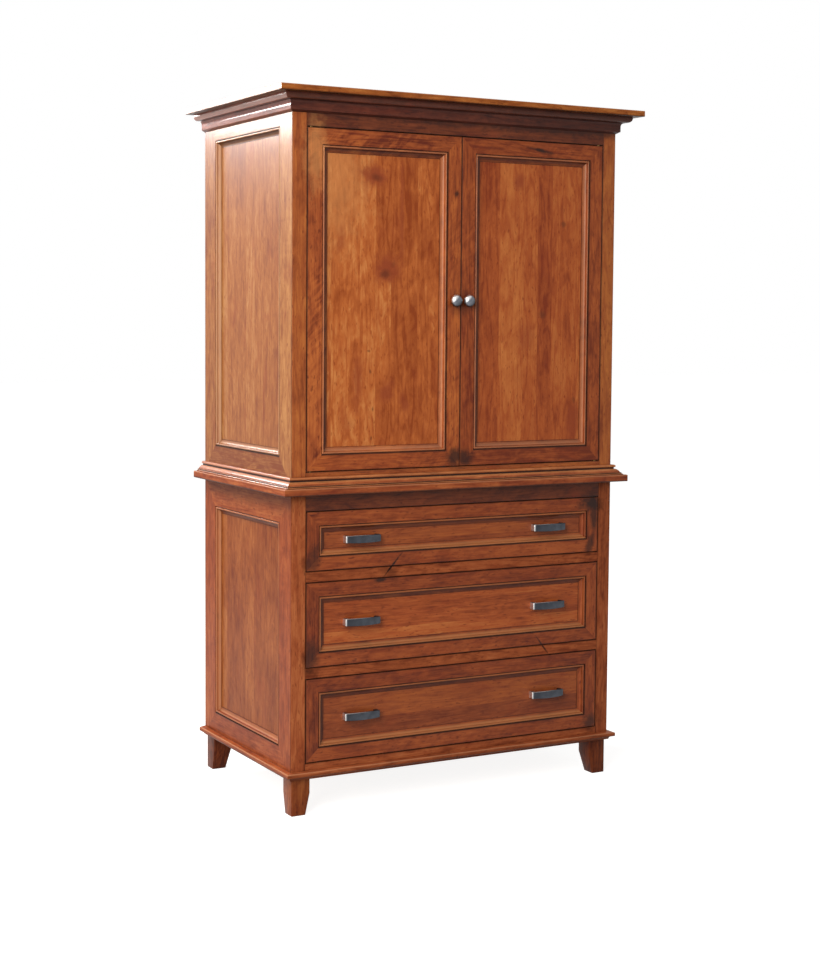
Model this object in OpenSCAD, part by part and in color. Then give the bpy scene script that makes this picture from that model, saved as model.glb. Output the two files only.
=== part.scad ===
// Two-part computer armoire. The lower case holds a keyboard drawer with a drop front over two
// deep drawers, and the upper case holds the monitor deck and shelves behind two pivot-hung doors.
// Millimetres. X runs across the front, +Y to the back and +Z up, with the floor at Z = 0.

/* [Case] */
// Width of both cases
body_w = 1042; // [960:1:1180]
// Depth of both cases
body_d = 608; // [580:1:700]
// Thickness of the side frames
side_t = 22; // [20:0.5:28]
// Thickness of the face frames, doors and drawer fronts
face_t = 22; // [21:0.5:27]
// Width of the face frame stiles
stile_w = 43; // [38:1:60]
// Thickness of the bottom, deck and ceiling boards
board_t = 18; // [14:0.5:20]
// Thickness of the back panels
back_t = 8; // [5:0.5:12]
// How far the back panels are let in from the back edge
back_inset = 4; // [2:0.5:10]

/* [Feet and base] */
// Height of the feet
foot_h = 101; // [80:1:140]
// Width of a foot at the top
foot_w = 55; // [50:1:75]
// Width of a foot at the floor
foot_tip_w = 42; // [30:1:48]
// Height up to which a foot tapers
foot_taper_h = 60; // [30:1:70]
// How far the feet stand in from the corners
foot_inset = 5; // [2:0.5:12]
// Height of the base moulding
base_h = 23.5; // [20:0.5:30]
// Projection of the base moulding
base_reach = 18; // [14:0.5:24]

/* [Lower case openings] */
// Height of the rail under the bottom drawer
base_rail_h = 42; // [34:1:60]
// Height of the bottom drawer's opening
bottom_bay_h = 232; // [210:1:300]
// Height of the rails between the drawers
drawer_rail_h = 29; // [22:1:45]
// Height of the middle drawer's opening
middle_bay_h = 234; // [210:1:300]
// Height of the keyboard drawer's opening
keyboard_bay_h = 164.5; // [150:0.5:200]
// Height of the rail over the keyboard drawer
lower_top_rail_h = 45; // [30:1:70]

/* [Waist] */
// Thickness of the waist top
waist_t = 19.5; // [15:0.5:28]
// Overhang of the waist top at the front and sides
waist_over = 36; // [28:1:50]
// Height of the waist moulding
waist_h = 29; // [24:0.5:38]
// Projection of the waist moulding
waist_reach = 26; // [20:0.5:27]

/* [Upper case openings] */
// Height of the rail under the doors
deck_rail_h = 41; // [39:1:60]
// Height of the door opening
door_bay_h = 922; // [840:1:1060]
// Height of the rail over the doors
upper_top_rail_h = 83.5; // [70:0.5:110]

/* [Crown] */
// Height of the crown moulding
crown_h = 48.5; // [40:0.5:68]
// Projection of the crown moulding
crown_reach = 35; // [32:0.5:48]
// Thickness of the crown cap
cap_t = 16.5; // [12:0.5:25]
// Overhang of the crown cap at the front and sides
cap_over = 60; // [50:1:80]

/* [Frames and panels] */
// Flat width of the side frame members
side_flat = 80; // [60:1:95]
// Flat width of the door frame members
door_flat = 44; // [38:1:60]
// Flat width of the drawer front members
drawer_flat = 38; // [30:1:46]
// Width of the moulded edge inside each frame
edge_w = 20; // [18:0.5:24]
// How far the panels lie below the frames' faces
panel_set = 12.5; // [11:0.5:13]
// Thickness of the panels
panel_t = 6; // [4:0.5:6.5]
// How far a panel reaches into the frame's groove
panel_tongue = 8; // [5:0.5:9]
// Play at each edge of a panel in its groove
panel_play = 1; // [0.5:0.1:2]
// Depth of the quirk beside the bead
quirk_d = 3; // [2:0.25:4]
// Width of the quirk
quirk_w = 1.6; // [1:0.1:2.5]
// Radius of the bead
bead_r = 2.9; // [2:0.1:3.5]
// Chamfer round the doors and drawer fronts
arris = 1; // [0.5:0.25:2]

/* [Doors] */
// Gap round the doors and drawer fronts
reveal = 2; // [1.8:0.1:4]
// Distance from a door's edge or the drop front's bottom to its pivot
pivot_in = 12; // [10.5:0.5:20]
// Distance of a pivot behind the front face
pivot_back = 6; // [5:0.25:6.5]
// Radius of the door pins
door_pin_r = 2; // [1.5:0.1:3]
// Length of a hinge leaf
leaf_l = 50; // [35:1:80]
// Width of a hinge leaf
leaf_w = 14; // [10:0.5:14.5]
// Thickness of a hinge leaf
leaf_t = 3; // [2:0.25:5]
// Height of the knobs above the doors' bottom opening
knob_up = 465; // [300:1:600]
// Distance of the knobs from the middle of the doors
knob_in = 21; // [19:0.5:28]
// Radius of the knobs
knob_r = 17; // [12:0.5:18]
// How far the knobs stand out
knob_out = 25; // [20:0.5:32]

/* [Shelves] */
// Height of the lower shelf above the deck
lower_shelf_up = 541; // [420:1:600]
// Height of the upper shelf above the deck
upper_shelf_up = 733; // [680:1:780]
// Thickness of the shelves
shelf_t = 20; // [15:0.5:28]
// Gap at each end of a shelf
shelf_gap = 2; // [1:0.5:4]
// How far the shelves stand back behind the doors
shelf_set = 18; // [17:1:34]
// Radius of the shelf pins
shelf_pin_r = 2.5; // [2:0.1:3.5]
// Spacing of the shelf pin holes
pin_pitch = 32; // [20:1:40]

/* [Cable ports] */
// Radius of the cable ports' clear bore
port_r = 25; // [15:1:35]
// Distance of the upper ports from the middle
port_in = 300; // [200:1:380]
// Height of the upper ports above the deck
port_up = 120; // [80:1:200]

/* [Drawers] */
// Length of the drawer boxes
box_l = 500; // [440:1:520]
// Thickness of the drawer box boards
box_t = 12; // [10:0.5:16]
// Height of the deep drawers' boxes
box_h = 180; // [140:1:184]
// Height of the deep drawers' boxes above the rail
box_lift = 12; // [6:1:20]
// Thickness of the drawer bottoms
box_bottom_t = 6; // [4:0.5:9]
// Height of the keyboard drawer's sides
keyboard_side_h = 80; // [76:1:120]
// Thickness of the keyboard tray
tray_t = 18; // [12:0.5:20]

/* [Slides] */
// Space that a slide takes at each side of a drawer
slide_t = 12.7; // [12.7:0.1:14]
// Height of the slides
slide_h = 45; // [35:1:47]
// Length of the slides
slide_l = 500; // [420:1:520]
// Thickness of the slides' steel
slide_steel = 1.2; // [1:0.1:1.5]
// Running gap between the slides' members
slide_gap = 0.8; // [0.5:0.1:1]
// Height of the slides' middle above a deep drawer's bottom edge
slide_up = 60; // [40:1:100]

/* [Pulls] */
// Spacing of a pull's screws
pull_cc = 96; // [80:1:128]
// Width of a pull's legs
pull_leg = 12; // [10:0.5:16]
// Height of a pull at its ends
pull_h = 19; // [12:0.5:24]
// How far a pull stands out from the panel
pull_rise = 26; // [22:0.5:32]
// How much of that is the bow of its front
pull_bow = 8; // [5:0.5:10]
// Thickness of a pull's front
pull_bar = 5; // [3.5:0.25:7]
// Distance of the pulls from the middle of a drawer
pull_in = 305; // [220:1:330]

/* [Hidden] */
$fn = 48;

// Hairline between boards of one node, so that each stays a separate board
seam = 0.1;
// Radial clearance of a turning pin and of a screw
pin_play = 0.05;
screw_play = 0.2;
// Clearance of a leaf in its mortise
mortise_play = 0.2;
// Clearance between parts that move past each other
run_gap = 0.5;
// How far a cut runs past the face that it opens
cut = 1;

half_w = body_w / 2;
inner_half = half_w - side_t;
open_half = half_w - stile_w;
front_y = (cap_over - body_d) / 2;
back_y = front_y + body_d;
mid_y = (front_y + back_y) / 2;
inner_front = front_y + face_t;
inner_back = back_y - back_inset - back_t;

// Each opening is [lower edge, upper edge]
lower_z = foot_h;
bottom_bay = [lower_z + base_rail_h, lower_z + base_rail_h + bottom_bay_h];
middle_bay = [bottom_bay[1] + drawer_rail_h, bottom_bay[1] + drawer_rail_h + middle_bay_h];
keyboard_bay = [middle_bay[1] + drawer_rail_h, middle_bay[1] + drawer_rail_h + keyboard_bay_h];
lower_top = keyboard_bay[1] + lower_top_rail_h;
upper_z = lower_top + waist_t;
door_bay = [upper_z + deck_rail_h, upper_z + deck_rail_h + door_bay_h];
upper_top = door_bay[1] + upper_top_rail_h;
ceiling_up = 3;
ceiling_z = door_bay[1] + ceiling_up;

front_w = 2 * (open_half - reveal);
door_w = open_half - 1.5 * reveal;
door_x = reveal / 2 + door_w / 2;
door_h = door_bay_h - 2 * reveal;

// Door pivots, hinge leaves and catch
door_pivot_x = open_half - reveal - pivot_in;
pivot_y = front_y + pivot_back;
leaf_end = 8;
leaf_front = 4;
washer_r = min(5, pivot_back - arris);
washer_gap = 0.3;
strike_t = 1.2;
strike_w = 24;
strike_h = 14;
strike_in = 6;
strike_down = 2;
catch_w = 64;
catch_h = 22;
catch_d = 13;

// Shelf heights, pins and their holes
shelf_zs = [door_bay[0] + lower_shelf_up, door_bay[0] + upper_shelf_up];
shelf_pin_in = 60;
shelf_pin_depth = 10;
shelf_pin_out = 9;
shelf_pin_play = 0.05;

// Cable ports
port_wall = 3;
port_flange = 6;
port_flange_t = 2;
port_out = 1;
lower_port_z = (middle_bay[1] + keyboard_bay[0]) / 2;
port_spots = [[-port_in, door_bay[0] + port_up], [port_in, door_bay[0] + port_up], [0, lower_port_z]];

// Drawer boxes
box_half = open_half - slide_t;
groove_d = box_t / 2;
groove_up = 10;
groove_play = 0.1;

// Drop front: its back swings down flush with the tray, just clear of the tray's edge
flap_pivot_z = keyboard_bay[0] + reveal + pivot_in;
tray_top = flap_pivot_z + face_t - pivot_back - run_gap;
tray_front = pivot_y + norm([face_t - pivot_back, pivot_in]) + run_gap;
side_below_tray = 7.5;
slide_below_side = 7;
keyboard_side_z = tray_top - tray_t - side_below_tray;
keyboard_slide_z = keyboard_side_z + keyboard_side_h - slide_h / 2 - slide_below_side;
flap_pin_r = 1.5;
flap_pin_reach = 5;
arm_r = 3.5;
bracket_t = 3;
bracket_h = 14;
bracket_l = 60;
bracket_set = 2;

// Screws of the pulls and knobs
screw_r = 2;
screw_grip = 7;
screw_head_r = 4;
screw_head_t = 2.5;
pull_w = pull_cc + pull_leg;
pull_corner = 3;
pull_crown = 1.25;

// Slides: gaps between the members' webs and in front of their lips, and the cleats that carry them
slide_set = 5;
slide_y = inner_front + slide_set;
slide_back_play = 20;
web_gap = 1;
lip_gap = 1.1;
cleat_over = 12;

wood = "#96492a";
deep_wood = "#8c4828";
panel_wood = "#b0622f";
crown_wood = "#7c3c20";
plain_wood = "#c89a66";
pewter = "#4a4c52";
steel = "#9aa0a6";
brass = "#b08d4c";
black = "#26262a";

// Points on an arc about [cx, cy] with the radii rx and ry, from one angle to another
function arc(cx, cy, rx, ry, from, to, steps = 6) =
    [for (i = [0:steps]) let (a = from + (to - from) * i / steps) [cx + rx * cos(a), cy + ry * sin(a)]];

// Draws its children on the right-hand side and mirrored on the left
module both_sides() {
    for (m = [0, 1]) mirror([m, 0, 0]) children();
}

// A box from its low corner to its high corner
module block(low, high) {
    translate(low) cube(high - low);
}

// A pin along X, from x0 to x1
module pin_x(r, x0, x1, y, z) {
    translate([x0, y, z]) rotate([0, 90, 0]) cylinder(h = x1 - x0, r = r);
}

// A pin along Y, from y0 to y1
module pin_y(r, x, y0, y1, z) {
    translate([x, y1, z]) rotate([90, 0, 0]) cylinder(h = y1 - y0, r = r);
}

// Cross-section of a frame member: X runs in from the outer edge and Y back from the face
module member_profile(flat, t, chamfer) {
    quirk_slope = 0.3;
    step = 1.5;
    toe_w = 2;
    toe_t = 1;
    inner = flat + edge_w;
    groove = inner - panel_tongue;
    bead_x = flat + quirk_w + bead_r;
    cove_y = quirk_d + step;
    cove_x = inner - toe_w;
    toe_y = panel_set - toe_t;
    polygon(concat(
        chamfer > 0 ? [[0, t], [0, chamfer], [chamfer, 0]] : [[0, t], [0, 0]],
        [[flat, 0], [flat + quirk_slope, quirk_d], [flat + quirk_w, quirk_d]],
        arc(bead_x, quirk_d, bead_r, min(bead_r, quirk_d), 190, 350),
        arc(cove_x, cove_y, cove_x - bead_x - bead_r, toe_y - cove_y, 180, 90),
        [[inner, toe_y], [inner, panel_set], [groove, panel_set], [groove, panel_set + panel_t]],
        [[inner, panel_set + panel_t], [inner, t]]
    ));
}

// Four mitred members round a panel. The face is at Y = 0 and the bottom edge at Z = 0
module mitred_frame(w, h, flat, t, chamfer = 0) {
    m = flat + edge_w;
    both_sides() intersection() {
        translate([-w / 2, 0, 0]) linear_extrude(h) member_profile(flat, t, chamfer);
        translate([0, t, seam]) rotate([90, 0, 0]) linear_extrude(t)
            polygon([[-w / 2, 0], [-w / 2 + m, m], [-w / 2 + m, h - m - 2 * seam], [-w / 2, h - 2 * seam]]);
    }
    for (top = [0, 1]) translate([0, 0, top * h]) mirror([0, 0, top]) intersection() {
        translate([w / 2, 0, 0]) rotate([0, -90, 0]) linear_extrude(w) member_profile(flat, t, chamfer);
        translate([0, t, 0]) rotate([90, 0, 0]) linear_extrude(t)
            polygon([[-w / 2, 0], [w / 2, 0], [w / 2 - m, m], [-w / 2 + m, m]]);
    }
}

// The panel that floats in the groove of mitred_frame
module floating_panel(w, h, flat) {
    edge = flat + edge_w - panel_tongue + panel_play;
    block([-w / 2 + edge, panel_set, edge], [w / 2 - edge, panel_set + panel_t, h - edge]);
}

// Turns a frame or panel to face out at the right-hand side of the case
module on_right_side(z) {
    translate([half_w, mid_y, z]) rotate([0, 0, 90]) children();
}

// One side frame, cut to a mitre along the front corner
module side_frame(z, h) {
    intersection() {
        on_right_side(z) mitred_frame(body_d, h, side_flat, side_t);
        translate([0, 0, z]) linear_extrude(h)
            polygon([[half_w, front_y], [inner_half, inner_front], [inner_half, back_y], [half_w, back_y]]);
    }
}

// Two stiles mitred to the sides, and rails given as [lower edge, upper edge]
module face_frame(z, h, rails) {
    both_sides() translate([0, 0, z]) linear_extrude(h) polygon([
        [half_w, front_y], [inner_half, inner_front], [open_half, inner_front], [open_half, front_y]
    ]);
    for (rail = rails)
        block([seam - open_half, front_y, rail[0]], [open_half - seam, inner_front, rail[1]]);
}

// A moulding mitred round the front and sides of the case. Its profile is the child: X out, Y up
module wrap_moulding(z, h, reach) {
    translate([0, 0, z]) intersection() {
        translate([half_w + reach, front_y, 0]) rotate([90, 0, -90])
            linear_extrude(body_w + 2 * reach) children();
        linear_extrude(h) polygon([
            [-half_w - reach, front_y - reach], [half_w + reach, front_y - reach],
            [half_w, front_y], [-half_w, front_y]
        ]);
    }
    both_sides() translate([0, 0, z]) intersection() {
        translate([half_w, back_y, 0]) rotate([90, 0, 0]) linear_extrude(body_d + reach) children();
        linear_extrude(h) polygon([
            [half_w, front_y + seam], [half_w + reach, front_y - reach + seam],
            [half_w + reach, back_y], [half_w, back_y]
        ]);
    }
}

// A cove under a square nose with round edges, and a top that slopes in to the case
module base_profile() {
    toe = 4;
    cove_in = 4;
    cove_h = 9.5;
    edge = 2.5;
    slope = 2.5;
    cove_x = base_reach - cove_in;
    edge_x = base_reach - edge;
    polygon(concat(
        [[0, 0]], arc(cove_x, 0, cove_x - toe, cove_h, 180, 90),
        arc(edge_x, cove_h + edge, edge, edge, -90, 0),
        arc(edge_x, base_h - slope - edge, edge, edge, 0, 90), [[0, base_h]]
    ));
}

// Two fillets, a flat ovolo and a quirked bead
module waist_profile() {
    fillet_h = 3;
    step_h = 3.5;
    step_in = 3;
    ovolo_in = 6;
    neck_x = 9.5;
    ovolo_end = 20;
    bead = 4;
    bead_x = 6.5;
    bead_drop = 0.5;
    quirk_h = 4;
    step_x = waist_reach - step_in;
    step_z = fillet_h + step_h;
    bead_z = waist_h - bead_drop - bead;
    ovolo_top = bead_z - bead - quirk_h;
    ovolo_share = cos(ovolo_end) - sin(ovolo_end);
    rx = (waist_reach - ovolo_in - neck_x) / ovolo_share;
    rz = (ovolo_top - step_z) / ovolo_share;
    polygon(concat(
        [[0, 0], [waist_reach, 0], [waist_reach, fillet_h], [step_x, fillet_h], [step_x, step_z]],
        arc(neck_x - rx * sin(ovolo_end), step_z - rz * sin(ovolo_end), rx, rz, ovolo_end, 90 - ovolo_end),
        [[bead_x, ovolo_top]], arc(bead_x, bead_z, bead, bead, -90, 90), [[0, waist_h]]
    ));
}

// A sloping toe, a cove, a fillet, a ledge and an ovolo under the cap
module crown_profile() {
    toe = 10;
    toe_in = 1.5;
    toe_h = 5.5;
    cove_up = 7;
    cove_h = 10;
    fillet_h = 2;
    ledge = 9;
    ovolo = 11;
    lip_h = 5.5;
    ovolo_x = crown_reach - ovolo;
    ovolo_z = crown_h - lip_h;
    ledge_z = ovolo_z - ovolo;
    cove_x = ovolo_x - ledge;
    cove_z = ledge_z - fillet_h - cove_h;
    polygon(concat(
        [[0, 0], [toe - toe_in, toe_h], [toe, cove_up]],
        arc(cove_x, cove_z, cove_x - toe, cove_h, 180, 90), [[cove_x, ledge_z]],
        arc(ovolo_x, ovolo_z, ovolo, ovolo, -90, 0), [[crown_reach, crown_h], [0, crown_h]]
    ));
}

// A foot in the corner at the origin, running to +X and +Y, tapered on its two inner faces
module foot() {
    module side_view() {
        polygon([[0, 0], [foot_tip_w, 0], [foot_w, foot_taper_h], [foot_w, foot_h], [0, foot_h]]);
    }
    color(deep_wood) intersection() {
        translate([0, foot_w, 0]) rotate([90, 0, 0]) linear_extrude(foot_w) side_view();
        rotate([90, 0, 90]) linear_extrude(foot_w) side_view();
    }
}

module foot_at(right, back) {
    y = back ? back_y - foot_inset : front_y + foot_inset;
    mirror([right, 0, 0]) translate([foot_inset - half_w, y, 0]) mirror([0, back, 0]) foot();
}

module base_moulding() {
    color(deep_wood) wrap_moulding(lower_z, base_h, base_reach) base_profile();
}

// A board of the full inside width and depth of the case
module inner_board(z) {
    block([-inner_half, inner_front, z], [inner_half, inner_back, z + board_t]);
}

module lower_bottom() {
    color(plain_wood) inner_board(lower_z);
}

module lower_frame() {
    color(deep_wood) side_frame(lower_z, lower_top - lower_z);
}

module lower_panel() {
    color(panel_wood) on_right_side(lower_z) floating_panel(body_d, lower_top - lower_z, side_flat);
}

module lower_face_frame() {
    color(deep_wood) face_frame(lower_z, lower_top - lower_z, [
        [lower_z, bottom_bay[0]], [bottom_bay[1], middle_bay[0]],
        [middle_bay[1], keyboard_bay[0]], [keyboard_bay[1], lower_top]
    ]);
}

// A back panel with a hole for each cable port that lies on it
module back_panel(z0, z1) {
    color(plain_wood) difference() {
        block([-inner_half, inner_back, z0], [inner_half, inner_back + back_t, z1]);
        for (spot = port_spots) if (spot[1] > z0 && spot[1] < z1)
            pin_y(port_r + port_wall, spot[0], inner_back - cut, inner_back + back_t + cut, spot[1]);
    }
}

// Pairs of cleats that carry the slides, flush with the face frame opening
module slide_cleats() {
    reach = slide_h / 2 + cleat_over;
    color(plain_wood) both_sides() for (z = slide_zs())
        block([open_half, inner_front, z - reach], [inner_half, inner_back, z + reach]);
}

module waist_top() {
    color(deep_wood) block([-half_w - waist_over, front_y - waist_over, lower_top],
        [half_w + waist_over, back_y, upper_z]);
}

module waist_moulding() {
    color(wood) wrap_moulding(upper_z, waist_h, waist_reach) waist_profile();
}

module monitor_deck() {
    color(wood) inner_board(door_bay[0] - board_t);
}

// Calls its children at each shelf pin, at the right-hand side
module at_shelf_pins(rows) {
    for (y = [front_y + shelf_pin_in, back_y - shelf_pin_in]) for (z = shelf_zs) for (row = rows)
        translate([0, y, z - shelf_pin_r + row * pin_pitch]) children();
}

module upper_frame() {
    color(wood) difference() {
        side_frame(upper_z, upper_top - upper_z);
        at_shelf_pins([-1:1]) pin_x(shelf_pin_r, inner_half - cut, inner_half + shelf_pin_depth, 0, 0);
    }
}

module upper_panel() {
    color(panel_wood) on_right_side(upper_z) floating_panel(body_d, upper_top - upper_z, side_flat);
}

// A hinge leaf at the right-hand side, from z0 up, or its mortise where it has play
module hinge_leaf(z0, play = 0) {
    block([door_pivot_x + leaf_end - leaf_l - play, pivot_y - leaf_front - play, z0],
        [door_pivot_x + leaf_end + play, pivot_y - leaf_front + leaf_w + play, z0 + leaf_t]);
}

module upper_face_frame() {
    color(wood) difference() {
        face_frame(upper_z, upper_top - upper_z, [[upper_z, door_bay[0]], [door_bay[1], upper_top]]);
        both_sides() {
            hinge_leaf(door_bay[0] - leaf_t, mortise_play);
            hinge_leaf(door_bay[1], mortise_play);
        }
    }
}

module upper_ceiling() {
    color(wood) inner_board(ceiling_z);
}

module shelves() {
    end = inner_half - shelf_gap;
    color(wood) for (z = shelf_zs)
        block([-end, inner_front + shelf_set, z], [end, inner_back - port_flange_t - run_gap, z + shelf_t]);
}

module shelf_pins() {
    color(brass) both_sides() at_shelf_pins([0:0])
        pin_x(shelf_pin_r - shelf_pin_play, inner_half - shelf_pin_out, inner_half + shelf_pin_depth, 0, 0);
}

// Flanged bushes in the back panels' holes
module cable_grommets() {
    back_end = inner_back + back_t + port_out;
    color(black) for (spot = port_spots) difference() {
        union() {
            pin_y(port_r + port_wall, spot[0], inner_back, back_end, spot[1]);
            pin_y(port_r + port_flange, spot[0], inner_back - port_flange_t, inner_back, spot[1]);
        }
        pin_y(port_r, spot[0], inner_back - port_flange_t - cut, back_end + cut, spot[1]);
    }
}

module crown_moulding() {
    color(crown_wood) wrap_moulding(upper_top - crown_h, crown_h, crown_reach) crown_profile();
}

module crown_cap() {
    color(crown_wood) block([-half_w - cap_over, front_y - cap_over, upper_top],
        [half_w + cap_over, back_y, upper_top + cap_t]);
}

// Case leaves with their pins and the washer shoulders that the doors run against
module hinge_case_leaves() {
    pin_l = leaf_t + reveal + leaf_t - run_gap;
    washer_l = reveal - washer_gap;
    module on_pivot(z) {
        translate([door_pivot_x, pivot_y, z]) children();
    }
    color(brass) both_sides() {
        hinge_leaf(door_bay[0] - leaf_t);
        on_pivot(door_bay[0] - leaf_t) cylinder(h = pin_l, r = door_pin_r);
        on_pivot(door_bay[0]) cylinder(h = washer_l, r = washer_r);
        hinge_leaf(door_bay[1]);
        on_pivot(door_bay[1] + leaf_t - pin_l) cylinder(h = pin_l, r = door_pin_r);
        on_pivot(door_bay[1] - washer_l) cylinder(h = washer_l, r = washer_r);
    }
}

// Magnet block under the ceiling, behind the doors' meeting edges
module door_catch() {
    y0 = inner_front + strike_t + run_gap;
    color(black) block([-catch_w / 2, y0, ceiling_z - catch_h], [catch_w / 2, y0 + catch_d, ceiling_z]);
}

// The right-hand door's parts, which the left-hand door mirrors
module door_frame() {
    bottom = door_bay[0] + reveal;
    color(wood) difference() {
        translate([door_x, front_y, bottom]) mitred_frame(door_w, door_h, door_flat, face_t, arris);
        hinge_leaf(bottom - cut, mortise_play);
        hinge_leaf(bottom, mortise_play);
        hinge_leaf(bottom + door_h - leaf_t, mortise_play);
        hinge_leaf(bottom + door_h - leaf_t + cut, mortise_play);
        pin_y(screw_r + screw_play, knob_in, front_y - cut, inner_front + cut, door_bay[0] + knob_up);
    }
}

module door_panel() {
    color(panel_wood) translate([door_x, front_y, door_bay[0] + reveal])
        floating_panel(door_w, door_h, door_flat);
}

// A base disc, a neck and a flared rim under a dome, on a screw through the door's stile
module knob() {
    base_r = 9;
    base_t = 2;
    neck_r = 5.5;
    neck_flare = 0.5;
    flare_r = 8;
    flare_h = 1.5;
    rim_in = 3;
    dome_h = 10;
    rim = knob_out - dome_h;
    under_rim = rim - 2.5;
    z = door_bay[0] + knob_up;
    color(pewter) {
        difference() {
            translate([knob_in, front_y, z]) rotate([90, 0, 0]) rotate_extrude() polygon(concat(
                [[0, 0], [base_r, 0], [base_r, base_t], [neck_r + neck_flare, 2 * base_t]],
                [[neck_r, under_rim - flare_h - base_t], [flare_r, under_rim - flare_h]],
                [[knob_r - rim_in, under_rim]], arc(0, rim, knob_r, dome_h, 0, 90, 8)
            ));
            pin_y(screw_r + pin_play, knob_in, front_y - screw_grip - cut, front_y + cut, z);
        }
        pin_y(screw_r, knob_in, front_y - screw_grip, inner_front, z);
        pin_y(screw_head_r, knob_in, inner_front, inner_front + screw_head_t, z);
    }
}

module door_hinge_leaves() {
    bore_r = door_pin_r + pin_play;
    color(brass) for (z = [door_bay[0] + reveal, door_bay[1] - reveal - leaf_t]) difference() {
        hinge_leaf(z);
        translate([door_pivot_x, pivot_y, z - cut]) cylinder(h = leaf_t + 2 * cut, r = bore_r);
    }
}

module strike() {
    top = door_bay[1] - reveal - strike_down;
    color(steel) block([strike_in, inner_front, top - strike_h],
        [strike_in + strike_w, inner_front + strike_t, top]);
}

// A drawer front for an opening, and the holes for its pulls' screws
module front_frame(bay) {
    color(deep_wood) translate([0, front_y, bay[0] + reveal])
        mitred_frame(front_w, bay[1] - bay[0] - 2 * reveal, drawer_flat, face_t, arris);
}

module front_panel(bay) {
    color(panel_wood) difference() {
        translate([0, front_y, bay[0] + reveal])
            floating_panel(front_w, bay[1] - bay[0] - 2 * reveal, drawer_flat);
        pull_screw_holes(bay, front_y, inner_front);
    }
}

module pull_screw_holes(bay, y0, y1) {
    for (x = [-pull_in, pull_in]) for (dx = [-pull_cc / 2, pull_cc / 2])
        pin_y(screw_r + screw_play, x + dx, y0 - cut, y1 + cut, (bay[0] + bay[1]) / 2);
}

// The radius of an arc that rises so far over half of its chord
function bow_radius(half, rise) = (half * half + rise * rise) / (2 * rise);

// A bowed edge at -top with round corners and straight ends, from the base on one side to the other
function bowed(half, top, r, base) =
    let (
        cy = r - top,
        fillet_y = cy - sqrt(pow(r - pull_corner, 2) - pow(half - pull_corner, 2)),
        a = atan2(half - pull_corner, cy - fillet_y)
    )
    concat(
        [[-half, base]], arc(pull_corner - half, fillet_y, pull_corner, pull_corner, 180, 270 - a, 4),
        arc(0, cy, r, r, 270 - a, 270 + a, 12),
        arc(half - pull_corner, fillet_y, pull_corner, pull_corner, 270 + a, 360, 4), [[half, base]]
    );

// A bowed front on two legs, standing out to -Y from the panel's face at Y = 0
module bow_pull() {
    half = pull_w / 2;
    front_r = bow_radius(half, pull_bow);
    middle_h = pull_h / 2 + pull_crown;
    difference() {
        intersection() {
            translate([0, 0, -pull_h]) linear_extrude(2 * pull_h) difference() {
                polygon(bowed(half, pull_rise, front_r, 0));
                polygon(bowed(half - pull_leg, pull_rise - pull_bar, front_r - pull_bar, cut));
            }
            translate([0, cut, 0]) rotate([90, 0, 0]) linear_extrude(pull_rise + 2 * cut)
                for (m = [0, 1]) mirror([0, m, 0])
                    polygon(bowed(half, middle_h, bow_radius(half, pull_crown), cut));
        }
        for (x = [-pull_cc / 2, pull_cc / 2]) pin_y(screw_r + pin_play, x, -screw_grip, cut, 0);
    }
}

// Two pulls on a drawer front, with screws that end in heads at the depth given
module pulls(bay, head_y) {
    panel_y = front_y + panel_set;
    z = (bay[0] + bay[1]) / 2;
    color(pewter) for (x = [-pull_in, pull_in]) {
        translate([x, panel_y, z]) bow_pull();
        for (dx = [-pull_cc / 2, pull_cc / 2]) {
            pin_y(screw_r, x + dx, panel_y - screw_grip + run_gap, head_y, z);
            pin_y(screw_head_r, x + dx, head_y, head_y + screw_head_t, z);
        }
    }
}

// A deep drawer's box: two sides, inner front and back between them, and a bottom in grooves
module drawer_box(bay) {
    z0 = bay[0] + box_lift;
    y0 = inner_front;
    y1 = inner_front + box_l;
    inner = box_half - box_t;
    groove_z0 = z0 + groove_up - groove_play;
    groove_z1 = z0 + groove_up + box_bottom_t + groove_play;
    edge = box_t - groove_d + groove_play;
    module groove() {
        reach = box_half - box_t + groove_d;
        block([-reach, y0 + box_t - groove_d, groove_z0], [reach, y1 - box_t + groove_d, groove_z1]);
    }
    color(plain_wood) {
        difference() {
            both_sides() block([inner, y0, z0], [box_half, y1, z0 + box_h]);
            groove();
        }
        difference() {
            block([seam - inner, y0, z0], [inner - seam, y0 + box_t, z0 + box_h]);
            groove();
            pull_screw_holes(bay, y0, y0 + box_t);
        }
        difference() {
            block([seam - inner, y1 - box_t, z0], [inner - seam, y1, z0 + box_h]);
            groove();
        }
        block([edge - box_half, y0 + edge, z0 + groove_up],
            [box_half - edge, y1 - edge, z0 + groove_up + box_bottom_t]);
    }
}

// Low sides and back round the keyboard tray
module keyboard_drawer_box() {
    inner = box_half - box_t;
    y1 = inner_front + box_l;
    z1 = keyboard_side_z + keyboard_side_h;
    color(plain_wood) {
        both_sides() block([inner, tray_front, keyboard_side_z], [box_half, y1, z1]);
        block([seam - inner, y1 - box_t, keyboard_side_z], [inner - seam, y1, z1]);
        block([seam - inner, tray_front, tray_top - tray_t], [inner - seam, y1 - box_t - seam, tray_top]);
    }
}

// Brackets on the drawer's sides with the pins that the drop front turns on
module flap_brackets() {
    x1 = box_half + bracket_t;
    y0 = tray_front + bracket_set;
    z = flap_pivot_z;
    color(steel) both_sides() {
        block([box_half, y0, z - bracket_h / 2], [x1, y0 + bracket_l, z + bracket_h / 2]);
        block([box_half, pivot_y, z - arm_r], [x1, y0 + cut, z + arm_r]);
        pin_x(arm_r, box_half, x1, pivot_y, z);
        pin_x(flap_pin_r, box_half - flap_pin_reach, x1 + flap_pin_reach, pivot_y, z);
    }
}

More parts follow.
